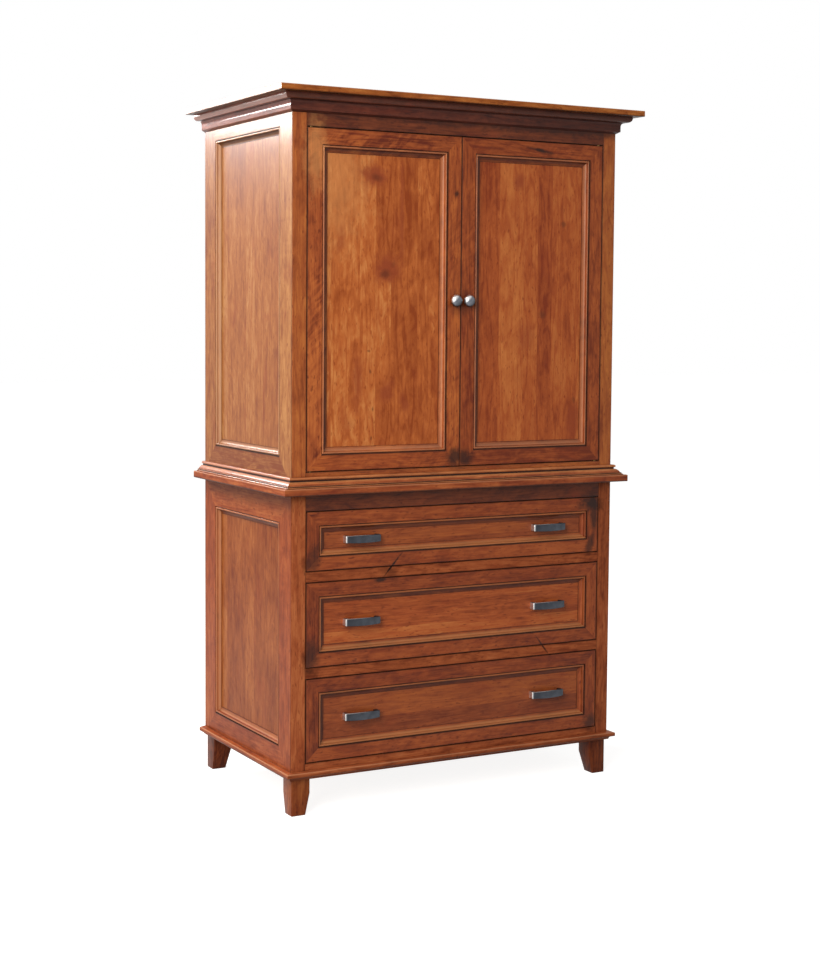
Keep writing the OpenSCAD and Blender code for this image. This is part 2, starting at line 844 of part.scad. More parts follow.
// The drop front's frame, slotted for the bracket arms and bored for their pins
module keyboard_front_frame() {
    slot_z = keyboard_bay[0] + reveal - cut;
    color(deep_wood) difference() {
        front_frame(keyboard_bay);
        both_sides() {
            block([box_half - run_gap, pivot_y - arm_r - run_gap, slot_z],
                [box_half + bracket_t + run_gap, inner_front + cut, flap_pivot_z + arm_r + run_gap]);
            pin_x(flap_pin_r + pin_play, box_half - flap_pin_reach - cut, open_half, pivot_y, flap_pivot_z);
        }
    }
}

function slide_zs() = [
    keyboard_slide_z, middle_bay[0] + box_lift + slide_up, bottom_bay[0] + box_lift + slide_up
];

// A steel channel at the right-hand side, from u0 to u1 in from the opening's edge. Its web is at
// u0 and it opens inwards, or the other way round where the web is at u1
module channel(u0, u1, h, l, z, web_at_u1 = false) {
    x0 = open_half - u1;
    x1 = open_half - u0;
    shift = web_at_u1 ? slide_steel : -slide_steel;
    lip = h / 2 - slide_steel;
    difference() {
        block([x0, slide_y, z - h / 2], [x1, slide_y + l, z + h / 2]);
        block([x0 + shift, slide_y - cut, z - lip], [x1 + shift, slide_y + l + cut, z + lip]);
    }
}

middle_member_h = slide_h - 2 * (slide_steel + slide_gap);
drawer_member_h = middle_member_h - 2 * (slide_steel + slide_gap);

module slide_case_members() {
    color(steel) both_sides() for (z = slide_zs()) channel(0, slide_t - lip_gap, slide_h, slide_l, z);
}

module slide_middle_members(z) {
    u0 = slide_steel + web_gap;
    u1 = slide_t - lip_gap - web_gap;
    color(steel) both_sides() channel(u0, u1, middle_member_h, slide_l - slide_back_play, z);
}

module slide_drawer_members(z) {
    u0 = 2 * (slide_steel + web_gap);
    color(steel) both_sides() channel(u0, slide_t, drawer_member_h, slide_l, z, true);
}

foot_at(0, 0);  // foot_front_left
foot_at(1, 0);  // foot_front_right
foot_at(0, 1);  // foot_back_left
foot_at(1, 1);  // foot_back_right
base_moulding();
lower_bottom();
mirror([1, 0, 0]) lower_frame();  // lower_left_frame
lower_frame();  // lower_right_frame
mirror([1, 0, 0]) lower_panel();  // lower_left_panel
lower_panel();  // lower_right_panel
lower_face_frame();
back_panel(lower_z, lower_top);  // lower_back
slide_cleats();
waist_top();
waist_moulding();
monitor_deck();
mirror([1, 0, 0]) upper_frame();  // upper_left_frame
upper_frame();  // upper_right_frame
mirror([1, 0, 0]) upper_panel();  // upper_left_panel
upper_panel();  // upper_right_panel
upper_face_frame();
back_panel(upper_z, upper_top);  // upper_back
upper_ceiling();
shelves();
shelf_pins();
cable_grommets();
crown_moulding();
crown_cap();
hinge_case_leaves();
door_catch();
slide_case_members();
mirror([1, 0, 0]) door_frame();  // left_door_frame
mirror([1, 0, 0]) door_panel();  // left_door_panel
mirror([1, 0, 0]) knob();  // left_knob
mirror([1, 0, 0]) door_hinge_leaves();  // left_hinge_leaves
mirror([1, 0, 0]) strike();  // left_strike
door_frame();  // right_door_frame
door_panel();  // right_door_panel
knob();  // right_knob
door_hinge_leaves();  // right_hinge_leaves
strike();  // right_strike
keyboard_front_frame();
front_panel(keyboard_bay);  // keyboard_front_panel
pulls(keyboard_bay, front_y + panel_set + panel_t);  // keyboard_pulls
keyboard_drawer_box();
flap_brackets();
slide_drawer_members(slide_zs()[0]);  // keyboard_drawer_members
slide_middle_members(slide_zs()[0]);  // keyboard_middle_members
front_frame(middle_bay);  // middle_front_frame
front_panel(middle_bay);  // middle_front_panel
pulls(middle_bay, inner_front + box_t);  // middle_pulls
drawer_box(middle_bay);  // middle_drawer_box
slide_drawer_members(slide_zs()[1]);  // middle_drawer_members
slide_middle_members(slide_zs()[1]);  // middle_middle_members
front_frame(bottom_bay);  // bottom_front_frame
front_panel(bottom_bay);  // bottom_front_panel
pulls(bottom_bay, inner_front + box_t);  // bottom_pulls
drawer_box(bottom_bay);  // bottom_drawer_box
slide_drawer_members(slide_zs()[2]);  // bottom_drawer_members
slide_middle_members(slide_zs()[2]);  // bottom_middle_members
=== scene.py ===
import functools
import math
import random

import bmesh
import bpy
from mathutils import Matrix, Vector


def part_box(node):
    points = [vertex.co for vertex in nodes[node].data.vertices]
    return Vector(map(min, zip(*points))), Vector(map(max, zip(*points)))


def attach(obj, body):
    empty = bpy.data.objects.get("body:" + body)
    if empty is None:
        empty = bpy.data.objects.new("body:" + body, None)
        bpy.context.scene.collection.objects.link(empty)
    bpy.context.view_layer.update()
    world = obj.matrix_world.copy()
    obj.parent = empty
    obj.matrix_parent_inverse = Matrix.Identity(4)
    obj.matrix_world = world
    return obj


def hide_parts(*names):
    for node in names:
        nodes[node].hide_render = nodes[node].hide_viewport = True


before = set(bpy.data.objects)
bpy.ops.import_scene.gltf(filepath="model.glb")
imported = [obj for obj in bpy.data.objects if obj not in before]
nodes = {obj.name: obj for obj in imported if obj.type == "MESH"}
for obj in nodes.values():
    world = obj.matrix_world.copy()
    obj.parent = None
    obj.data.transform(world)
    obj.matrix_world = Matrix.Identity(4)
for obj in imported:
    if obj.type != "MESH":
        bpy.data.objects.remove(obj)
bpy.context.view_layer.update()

scene = bpy.context.scene
mm = 0.001
xDir = Vector((1, 0, 0))
yDir = Vector((0, 1, 0))
zDir = Vector((0, 0, 1))
sides = {"left": -1, "right": 1}

# Chance picks each board's tone, and where the heart of its tree lies from its middle, in mm
boardPick = random.Random(29)
chance = dict(tone=(0.3, 0.7), aside=(-30, 30), behind=(35, 80))
# How light the boards that face the room are, from 0 to 1; the rest are left to chance
facingTones = dict(
    left_door=dict(left_stile=0.5, right_stile=0.6, top_rail=0.2787, bottom_rail=0.4),
    # painted shade: the right door's top rail is darker, where the crown's shadow falls
    right_door=dict(left_stile=0.25, right_stile=0.35, top_rail=0.25, bottom_rail=0.1),
    upper=dict(left_face_stile=0.45, right_face_stile=0.7, face_top_rail=0.3,
               left_side_back_stile=0.3, left_side_bottom_rail=0.0),
    lower=dict(left_face_stile=0.7, right_face_stile=0.4, face_top_rail=0.4),
    keyboard_front=dict(left_stile=0.35, right_stile=0.4, top_rail=0.6, bottom_rail=0.75),
    middle_front=dict(left_stile=0.25, right_stile=0.7, top_rail=0.47, bottom_rail=0.55),
    bottom_front=dict(left_stile=0.3, right_stile=0.5, top_rail=0.35, bottom_rail=0.6),
    # painted shade: the back left foot is the darkest, in the shade under the case
    foot_post=dict(front_left=0.65, front_right=0.1, back_left=0.0),
)
boardTones = {f"{group}_{name}": tone for group, tones in facingTones.items() for name, tone in tones.items()}


# Small helpers

def hexColor(code):
    # an sRGB hex colour as linear RGBA
    channels = [int(code[i:i + 2], 16) / 255 for i in (1, 3, 5)]
    return tuple(c / 12.92 if c <= 0.04045 else ((c + 0.055) / 1.055) ** 2.4 for c in channels) + (1,)


def addNode(tree, kind, *inputs, **settings):
    # adds a shader node, whose kind may be followed by its operation. Inputs go to its first sockets;
    # a capital starts another socket's name and a small letter a property's. A value may be a node
    # or socket to link from.
    kind, *operation = kind.split()
    made = tree.nodes.new("ShaderNode" + kind)
    if operation:
        made.operation = operation[0]
    for key, value in settings.items():
        if key.islower():
            setattr(made, key, value)
    named = {socket.identifier.replace(" ", "_"): socket for socket in made.inputs}
    filled = [(named[key], value) for key, value in settings.items() if not key.islower()]
    for socket, value in [*zip(made.inputs, inputs), *filled]:
        if isinstance(value, bpy.types.Node):
            value = value.outputs[0]
        if isinstance(value, bpy.types.NodeSocket):
            tree.links.new(value, socket)
        else:
            socket.default_value = value
    return made


def emptied(shaded):
    # a material or world without its first nodes, and the function that adds its own
    shaded.use_nodes = True
    shaded.node_tree.nodes.clear()
    return shaded, functools.partial(addNode, shaded.node_tree)


def addObject(name, data):
    # an object of that data, or of a bmesh, which it uses up
    if isinstance(data, bmesh.types.BMesh):
        bm, data = data, bpy.data.meshes.new(name)
        bm.to_mesh(data)
        bm.free()
    obj = bpy.data.objects.new(name, data)
    scene.collection.objects.link(obj)
    return obj


def arc(cx, cy, rx, ry, start, end, steps, glazeAndLight=(0, 0)):
    # points on an arc in degrees, with the glaze and painted light value running from one value to the other
    points = []
    for i in range(steps + 1):
        share = i / steps
        angle = math.radians(start + (end - start) * share)
        tone = glazeAndLight[0] + (glazeAndLight[1] - glazeAndLight[0]) * share
        points.append((cx + rx * math.cos(angle), cy + ry * math.sin(angle), tone))
    return points


def roundedOutline(w, h, r, corners):
    # a rectangle from the origin; a, b, c and d are its corners from the origin round through +Y
    points = []
    for corner, x, y, start in (("a", 0, 0, 270), ("b", 0, h, 180), ("c", w, h, 90), ("d", w, 0, 360)):
        if corner in corners:
            points += arc(min(max(x, r), w - r), min(max(y, r), h - r), r, r, start, start - 90, 4)
        else:
            points.append((x, y, 0))
    return points


def prism(outline, length):
    # a bar along +X from 0 to length; the outline's points are (y, z, glaze and painted light) in millimetres
    bm = bmesh.new()
    glazeAndLight = bm.verts.layers.float.new("glazeAndLight")
    ring = []
    for y, z, tone in outline:
        vert = bm.verts.new((0, y * mm, z * mm))
        vert[glazeAndLight] = tone
        ring.append(vert)
    end = bm.faces.new(ring)
    grown = bmesh.ops.extrude_face_region(bm, geom=[end])
    moved = [g for g in grown["geom"] if isinstance(g, bmesh.types.BMVert)]
    bmesh.ops.translate(bm, verts=moved, vec=(length, 0, 0))
    return bm


def cutAway(bm, point, normal):
    # removes what lies on the side that the normal points to, and closes the cut
    everything = bm.verts[:] + bm.edges[:] + bm.faces[:]
    cut = bmesh.ops.bisect_plane(
        bm, geom=everything, dist=1e-7, plane_co=point, plane_no=normal, clear_outer=True)
    rim = [g for g in cut["geom_cut"] if isinstance(g, bmesh.types.BMEdge)]
    if rim:
        bmesh.ops.holes_fill(bm, edges=rim, sides=0)


def place(bm, origin, along, inward, depth, verts=None):
    # turns the shape's own X, Y and Z to those directions and lengths, and its origin to that place
    turn = Matrix((along, inward, depth)).transposed().to_4x4()
    bmesh.ops.transform(bm, matrix=Matrix.Translation(origin) @ turn, verts=verts or bm.verts)


def mitredBar(outline, length, mitres, *spot):
    # a bar with mitred ends, in its place; a mitre is where it starts and the X and Y of its normal
    bm = prism(outline, length)
    for x, normalX, normalY in mitres:
        cutAway(bm, (x, 0, 0), (normalX, normalY, 0))
    place(bm, *spot)
    return bm


def cutter(cut):
    # a box as (low, high) or a rod as (start, end, radius), to cut with
    start, end = Vector(cut[0]), Vector(cut[1])
    bm = bmesh.new()
    if len(cut) == 2:
        bmesh.ops.create_cube(bm, size=1)
        bmesh.ops.scale(bm, vec=end - start, verts=bm.verts)
        bmesh.ops.translate(bm, vec=(start + end) / 2, verts=bm.verts)
    else:
        bmesh.ops.create_cone(bm, cap_ends=True, segments=24, radius1=cut[2], radius2=cut[2],
                              depth=(end - start).length)
        turn = zDir.rotation_difference(end - start).to_matrix().to_4x4()
        bmesh.ops.transform(bm, matrix=Matrix.Translation((start + end) / 2) @ turn, verts=bm.verts)
    return addObject("cutter", bm)


def carve(obj, cuts):
    # takes the cuts out of the piece one by one, and leaves it a plain mesh
    cutters = [cutter(cut) for cut in cuts]
    for tool in cutters:
        modifier = obj.modifiers.new("carve", "BOOLEAN")
        modifier.operation = "DIFFERENCE"
        modifier.solver = "EXACT"
        modifier.object = tool
    bpy.context.view_layer.update()
    carved = bpy.data.meshes.new_from_object(obj.evaluated_get(bpy.context.evaluated_depsgraph_get()))
    obj.modifiers.clear()
    obj.data = carved
    for tool in cutters:
        bpy.data.objects.remove(tool)


def finishPiece(bm, name, finish, home, cuts=(), sharp=32):
    # makes the object: outward faces, smooth where the turn is gentle, and its own tone and heart;
    # its home is the body it rides on, its slot, which is not used, and the node that it stands for
    bmesh.ops.remove_doubles(bm, verts=bm.verts, dist=1e-6)
    bmesh.ops.recalc_face_normals(bm, faces=bm.faces)
    obj = addObject(name, bm)
    if cuts:
        carve(obj, cuts)
    mesh = obj.data
    mesh.polygons.foreach_set("use_smooth", [True] * len(mesh.polygons))
    mesh.set_sharp_from_angle(angle=math.radians(sharp))
    tone = boardTones.get(name, boardPick.uniform(*chance["tone"]))
    shift = Vector([boardPick.uniform(*chance[way]) for way in ("aside", "behind", "aside")]) * mm
    heart = sum((Vector(corner) for corner in obj.bound_box), Vector()) / 8 + shift
    count = len(mesh.vertices)
    mesh.attributes.new("board", "FLOAT", "POINT").data.foreach_set("value", [tone] * count)
    mesh.attributes.new("heart", "FLOAT_VECTOR", "POINT").data.foreach_set("vector", list(heart) * count)
    mesh.materials.clear()
    mesh.materials.append(finish)
    body, slotName, node = home
    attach(obj, body)
    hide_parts(node)


def board(name, low, high, grain, finish, home, radius=1.5, corners="abcd", cuts=(), outline=None):
    # a straight board along X or Y, its grain's axis, whose long edges are rounded over
    low, high = Vector(low), Vector(high)
    size = (high - low) / mm
    along, aside = (xDir, yDir) if grain == "x" else (yDir, xDir)
    bm = prism(outline or roundedOutline(size.dot(aside), size.z, radius, corners), size.dot(along) * mm)
    place(bm, low, along, aside, zDir)
    finishPiece(bm, name, finish, home, cuts)


def dress(names, finish):
    # gives CAD nodes their finish
    for name in names.split():
        slot = nodes[name].material_slots[0]
        slot.link = "OBJECT"
        slot.material = finish


# Wood
# Cherry boards, planed and sanded, wiped with an orange-brown stain and a dark glaze, then
# sprayed with satin lacquer: warm, cloudy colour under a soft sheen, and near-black quirks.
# A look holds the stain's dark, middle and light tones and what isn't usual: the lacquer's sheen,
# how strong each part of the figure is, and the colour where glaze is rubbed through or a highlight painted.
usualLook = dict(rough=0.36, gloss=0.2, coat=0, coatRough=0.22, curl=0.15, lines=0.12, fine=1, broad=1,
                 staves=0.2, wearAndHighlight="#b47e5a")
bleached = dict(coat=0.22, coatRough=0.14, gloss=0.04)
woodLooks = dict(
    doorFrame=dict(tones="#64260e #92461f #b4622c", curl=0.25),
    curlyFrame=dict(tones="#5c200c #964a22 #b86630", curl=0.55),
    caseFrame=dict(tones="#6c2e12 #944c22 #b0652e"),
    # The left side's looks are copies of the stain toned for the strong light on that side: the frames,
    # panels and waist moulding there are darker and duller, painted shade, with pale painted highlights in
    # their rubbed colours; the crown and the cap's edge are lighter, painted light; the waist top's edge has
    # flatter tones.
    sideFrame=dict(tones="#703616 #8f582c #a8723f", wearAndHighlight="#bc9272", **bleached),
    lowerSide=dict(tones="#642810 #863e1c #9c542a", coat=0.1, gloss=0.03),
    # painted shade: the face frames' top rails, under the crown and the waist top, are darker
    topRail=dict(tones="#42190b #673018 #804124"),
    lowerFrame=dict(tones="#682e18 #944c2a #ae643a", gloss=0.08),
    drawerFrame=dict(tones="#501c0c #803a1a #9e5026", lines=0.08, wearAndHighlight="#ac7448"),
    drawerPanel=dict(tones="#5c240f #823e1e #9e5226", lines=0.1, curl=0, broad=0.7),
    middlePanel=dict(tones="#6a2a10 #a04e24 #b66a36", lines=0.08, curl=0, broad=0.6),
    leftDoorPanel=dict(tones="#84380f #ae5c29 #d08a4c", fine=0.42, staves=0.28, curl=0.12),
    rightDoorPanel=dict(tones="#762c0e #a04e22 #bc6e36", fine=0.45, broad=0.85, staves=0.24),
    # painted shade: the left side's panels are darker and duller than the right side's
    sidePanel=dict(tones="#743b1c #90562b #a67244", fine=0.5, **bleached),
    lowerSidePanel=dict(tones="#682c10 #86461f #9c5c2e", coat=0.1, gloss=0.03, fine=0.55),
    rightSidePanel=dict(tones="#762e10 #9e5026 #ba7038", fine=0.5),
    waist=dict(tones="#6a2a10 #9a4e26 #bc7240", wearAndHighlight="#b98a5a"),
    waistSide=dict(tones="#60240e #8a4220 #aa6032", wearAndHighlight="#e0b296", coat=0.3, coatRough=0.06,
                   gloss=0.04),
    slab=dict(tones="#66280f #8e4420 #b06434"),
    slabSide=dict(tones="#6c2a10 #904620 #aa602e", coat=0.08, gloss=0.04),
    crown=dict(tones="#280c06 #4c1e12 #6a3220", wearAndHighlight="#7c4a36"),
    # painted light: the left side's crown is lighter and pinker than the front's, with near-white painted
    # highlights
    crownSide=dict(tones="#5c2618 #8a4634 #ac6a56", wearAndHighlight="#f0d6ca", coat=0.5, coatRough=0.05,
                   gloss=0.04),
    cap=dict(tones="#6a3212 #925022 #b47036", gloss=0.1),
    capSide=dict(tones="#6e3414 #9a5628 #b8743c"),
    # painted shade: the feet, in the shade under the case, are darker
    foot=dict(tones="#481a08 #743618 #925028", gloss=0.1),
    shelf=dict(tones="#744022 #a2643a #ba7e4c"),
    plain=dict(tones="#a47a4c #c89f6c #dab988", rough=0.5, lines=0.04),
    ply=dict(tones="#8a6440 #ad8358 #c29a6e", rough=0.6, lines=0.08),
)
unstained = dict(plain="lacquered maple", ply="birch plywood")
# The figure's layers: width across the grain in mm, how many times as long, and the noise's detail,
# roughness and distortion. Cherry's own rings and pores are about a third of the fine ones, too fine
# for the view.
figure = dict(
    streak=(8, 10, 3, 0.6, 0.5), fibre=(3.6, 22, 2, 0.6, 0), cloud=(90, 3.2, 2.5, 0.5, 0.6),
    mottle=(20, 2.6, 3, 0.6, 0.8), ring=(60, 9, 2, 0.5, 0.4), curlPatch=(120, 2, 1, 0.55, 0),
    fleck=(5, 3.5, 1, 0.55, 0), blotch=(60, 2.2, 3, 0.6, 0.8))
ringCount = 8  # late wood lines from the lowest to the highest of the ring layer
curl = dict(wide=15, long=5, turn=-45)  # fiddleback's bands: mm, times as long, degrees to the grain
# Staves are picked at random: how uneven their widths are, and what that shifts their figure by, in m
stavePick = dict(waves=24, uneven=0.3, across=4, through=0.05, heart=0.02)
cutShift = 23  # how far along its tree a board's tone moves where it was cut, in m
toneWeights = dict(board=0.42, streak=0.4, fibre=0.44, cloud=0.5, mottle=0.6)
axisOrder = {"x": (2, 1, 0), "y": (2, 0, 1), "z": (0, 1, 2)}  # across, through and along the grain
# the colour of the glaze, and of painted shade and painted shadows
glazeAndShadeColor = hexColor("#1c0a05")
blotchColor = hexColor("#7a2a12")
stains = dict(red="#86391b", gold="#c8864e")
finishes = {}


def mark(x, z, wide, tall, strength, turn=0, stain=None, y=-274, deep=12):
    # a knot, smudge or painted shadow, or a patch of a stain: an ellipse's middle and half sizes in mm, and
    # its turn
    return dict(at=(x, y, z), size=(wide, deep, tall), strength=strength, turn=turn, stain=stain)


def woodFinish(look, grain, staves=None, marks=()):
    # staves is (axis, width in mm) where a panel is glued up
    key = (look, grain)
    if key in finishes:
        return finishes[key]
    colors = {**usualLook, **woodLooks[look]}
    tones = [hexColor(code) for code in colors["tones"].split()]
    title = f"{unstained.get(look, f'stained cherry {look}')} {grain}"
    material, add = emptied(bpy.data.materials.new(title))
    coords = add("TexCoord").outputs["Object"]
    tone, glazeAndLight = [add("Attribute", attribute_name=name).outputs["Fac"] for name in ("board", "glazeAndLight")]
    heart = add("Attribute", attribute_name="heart").outputs["Vector"]
    local = add("SeparateXYZ", add("VectorMath SUBTRACT", coords, heart))
    across, through, along = [local.outputs[i] for i in axisOrder[grain]]
    if staves:
        axis, width = staves
        raw = add("SeparateXYZ", coords).outputs["XYZ".index(axis)]
        wave = add("Math SINE", add("Math MULTIPLY", raw, stavePick["waves"]))
        steps = add("Math MULTIPLY", raw, 1 / (width * mm))
        steps = add("Math MULTIPLY_ADD", wave, stavePick["uneven"], steps)
        pick = add("TexWhiteNoise", noise_dimensions="1D", W=add("Math FLOOR", steps))
        tone = pick.outputs["Value"]
        picked = add("SeparateXYZ", pick.outputs["Color"]).outputs
        across = add("Math MULTIPLY_ADD", picked[1], stavePick["across"], raw)
        through = add("Math MULTIPLY_ADD", picked[2], stavePick["through"], stavePick["heart"])
    # boards differ along their length by where in the tree they were cut
    along = add("Math MULTIPLY_ADD", tone, cutShift, along)
    wood = add("CombineXYZ", across, through, along)
    layer = {"board": tone}
    for name, (wide, long, detail, roughness, distortion) in figure.items():
        scale = 1 / (wide * mm)
        stretched = add("Mapping", wood, Scale=(scale, scale, scale / long))
        layer[name] = add("TexNoise", stretched, Scale=1, Detail=detail, Roughness=roughness,
                          Distortion=distortion)

    # late wood: dark lines along the contours of a slow field, so they close into arches
    rings = add("Math FRACT", add("Math MULTIPLY", layer["ring"], ringCount))
    rings = add("Math ABSOLUTE", add("Math SUBTRACT", rings, 0.5))
    rings = add("MapRange", rings, 0.22, 0.02, 0, 1, interpolation_type="SMOOTHSTEP")
    # fiddleback: soft bands that cross the grain at a slant, in patches
    ripple = add("Mapping", wood, vector_type="TEXTURE", Rotation=(0, math.radians(curl["turn"]), 0),
                 Scale=(curl["wide"] * curl["long"] * mm,) * 2 + (curl["wide"] * mm,))
    ripple = add("TexNoise", ripple, Scale=1, Detail=2, Roughness=0.55, Distortion=0.5)
    bands = add("MapRange", ripple, 0.4, 0.62, 0.18, -0.3)
    where = add("MapRange", layer["curlPatch"], 0.44, 0.6, 0, colors["curl"])

    # the layers add up around a half, the stain's middle tone
    shares = {**toneWeights, **({"board": colors["staves"]} if staves else {})}
    for name, kind in (("streak", "fine"), ("fibre", "fine"), ("cloud", "broad"), ("mottle", "broad")):
        shares[name] *= colors[kind]
    weights = [(layer[name], share) for name, share in shares.items()]
    total = 0.5 - sum(shares.values()) / 2 + 0.2 * colors["lines"]
    for source, weight in weights + [(rings, -colors["lines"]), (bands, where)]:
        total = add("Math MULTIPLY_ADD", source, weight, total)
    color = add("ValToRGB", total)
    color.color_ramp.elements.new(0.5)
    for element, position, stain in zip(color.color_ramp.elements, (0.2, 0.5, 0.8), tones):
        element.position = position
        element.color = stain

    # over it lie the stain's blotches, dark flecks, where the glaze is rubbed through or a highlight is
    # painted, and the marks, some of them painted shadows
    blotch = add("MapRange", layer["blotch"], 0.54, 0.72, 0, 0 if look in unstained else 0.3)
    fleck = add("MapRange", layer["fleck"], 0.63, 0.74, 0, 0.7)
    # rubbed-through glaze and painted highlights lighten towards the look's rubbed colour
    wearAndHighlight = add("Math MULTIPLY", glazeAndLight, -1, use_clamp=True)
    covers = [(blotch, blotchColor), (fleck, tones[0]), (wearAndHighlight, hexColor(colors["wearAndHighlight"]))]
    # the glaze darkens, with painted shade in some coves and under edges, and so do the marks' painted
    # shadows
    glazeAndShade = add("Math MULTIPLY", glazeAndLight, 0.94, use_clamp=True)
    ragged = add("TexNoise", coords, Scale=45, Detail=3, Roughness=0.65)
    for spot in marks:
        area = add("Mapping", coords, [v * mm for v in spot["at"]], (0, math.radians(spot["turn"]), 0),
                   [v * mm for v in spot["size"]], vector_type="TEXTURE")
        reach = add("Math ADD", add("VectorMath LENGTH", area).outputs["Value"], ragged)
        reach = add("MapRange", reach, 0.7, 1.45, spot["strength"], 0, interpolation_type="SMOOTHSTEP")
        if spot["stain"]:
            covers.append((reach, hexColor(stains[spot["stain"]])))
        else:
            glazeAndShade = add("Math MAXIMUM", glazeAndShade, reach)
    for share, over in covers + [(glazeAndShade, glazeAndShadeColor)]:
        color = add("Mix", share, A_Color=color, B_Color=over, data_type="RGBA").outputs[2]

    # the lacquer lies over a grain that is still just felt
    felt = add("Math MULTIPLY_ADD", layer["fibre"], 0.6, layer["streak"])
    bump = add("Bump", Strength=0.12, Distance=0.0004, Height=felt)
    rough = add("MapRange", layer["streak"], 0.3, 0.7, colors["rough"] + 0.07, colors["rough"] - 0.04)
    shader = add("BsdfPrincipled", color, Roughness=rough, Normal=bump, IOR=1.5, Coat_IOR=1.5,
                 Specular_IOR_Level=colors["gloss"], Coat_Weight=colors["coat"],
                 Coat_Roughness=colors["coatRough"])
    add("OutputMaterial", shader)
    finishes[key] = material
    return material


# Metal and plastic
# Where the glaze value is negative the metal takes a painted highlight, and where it is positive a painted
# shade
paintedHighlightMetal = hexColor("#dddbd9")
paintedShadeMetal = hexColor("#1c1e22")


def metalFinish(name, code, rough, grit, metallic=1.0):
    # grit is the size in mm of the cast or rubbed texture, drawn about as coarse as the view needs
    material, add = emptied(bpy.data.materials.new(name))
    coords = add("TexCoord").outputs["Object"]
    grain = add("TexNoise", coords, Scale=1 / (grit * mm), Detail=3, Roughness=0.6)
    wear = add("MapRange", add("TexNoise", coords, Scale=60, Detail=2), 0.35, 0.65, 0, 1)
    glazeAndLight = add("Attribute", attribute_name="glazeAndLight").outputs["Fac"]
    # painted highlight where the value is negative, painted shade where it is positive
    wearAndHighlight = add("Math MULTIPLY", glazeAndLight, -1, use_clamp=True)
    paintedShade = add("Math ADD", glazeAndLight, 0, use_clamp=True)
    color = hexColor(code)
    worn = tuple(min(1, c * 1.35) for c in color[:3]) + (1,)
    for share, over in ((wear, worn), (wearAndHighlight, paintedHighlightMetal), (paintedShade, paintedShadeMetal)):
        color = add("Mix", share, A_Color=color, B_Color=over, data_type="RGBA").outputs[2]
    roughness = add("MapRange", grain, 0.3, 0.7, rough - 0.05, rough + 0.07)
    bump = add("Bump", Strength=0.1, Distance=0.0002, Height=grain)
    shader = add("BsdfPrincipled", color, metallic, roughness, Normal=bump)
    add("OutputMaterial", shader)
    return material


# Cast zinc, plated and rubbed to a dark pewter: grey, with a soft shine
# painted reflection: the pulls' pewter is darker than the knobs', for the dark that their fronts reflect
pewter = metalFinish("rubbed pewter", "#404349", 0.42, 1.2)
knobPewter = metalFinish("polished pewter", "#62656c", 0.32, 1.2)
# Stamped brass leaves and pins, aged to a dull brown
brass = metalFinish("aged brass", "#5e4a2b", 0.42, 1.0)
# Cold-rolled steel, zinc plated
zinc = metalFinish("zinc-plated steel", "#a9adb2", 0.34, 1.5)
# Moulded ABS with a fine spark-eroded texture
blackPlastic = metalFinish("moulded ABS", "#1f1f22", 0.5, 0.8, metallic=0)
print("finishes ready")


# Measures from the frame
sideLow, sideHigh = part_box("lower_left_frame")
halfW = -sideLow.x
frontY = sideLow.y
backY = sideHigh.y
sideT = sideHigh.x - sideLow.x
faceT = sideT
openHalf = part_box("right_door_frame")[1].x + 2 * mm  # the reveal round a door
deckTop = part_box("monitor_deck")[1].z

# A frame member's section, as in the working drawing, in mm
section = dict(edge=20, tongue=8, play=1, panelSet=12.5, panelThick=6, quirkDeep=3, quirkWide=1.6,
               bead=2.9, step=1.5, toeWide=2, toeDeep=1)
# Rounding of the case's corners and of the face frame's openings, and the glaze beside them, in mm
faceEdge = dict(corner=2.2, arris=0.8, wipe=2.4)

# How the glaze and painted light lie on a member's lip, quirk, bead, upper and lower half of the cove,
# and toe, from dark at 1 to rubbed through or painted light at -1. The quirks hold glaze; the coves
# hold painted shade in the left and top members and painted highlights in most others.
glazeAndLightSets = dict(
    # the left and top members: painted shade in the coves
    shadedCoves=((0, 0.3), 1, -0.35, (0.75, 0.7), (0.62, 0.45), 1),
    # the usual one: a rubbed bead and painted highlights in the coves
    wearAndHighlight=((0.6, 0.8), 1, -0.4, (0.15, -0.35), (-0.5, -0.2), 1),
    # the drawers' bottom rails: stronger painted highlights in the coves
    brightLitCoves=((0.6, 0.9), 1, -0.55, (-0.25, -0.65), (-0.65, 0.05), 1),
    # the drawers' right stiles: a little painted shade in the upper cove and no highlight
    plain=((0.6, 0.8), 1, -0.05, (0.3, 0.1), (0, 0.05), 1),
    # the side frames' back stiles: painted highlights in the coves and a pale quirk
    litCoves=((0, 0.1), 0.35, -0.6, (-0.3, -0.45), (-0.6, -0.5), 0.4),
)
memberGlazeAndLight = dict(left_stile="shadedCoves", top_rail="shadedCoves", back_stile="litCoves")


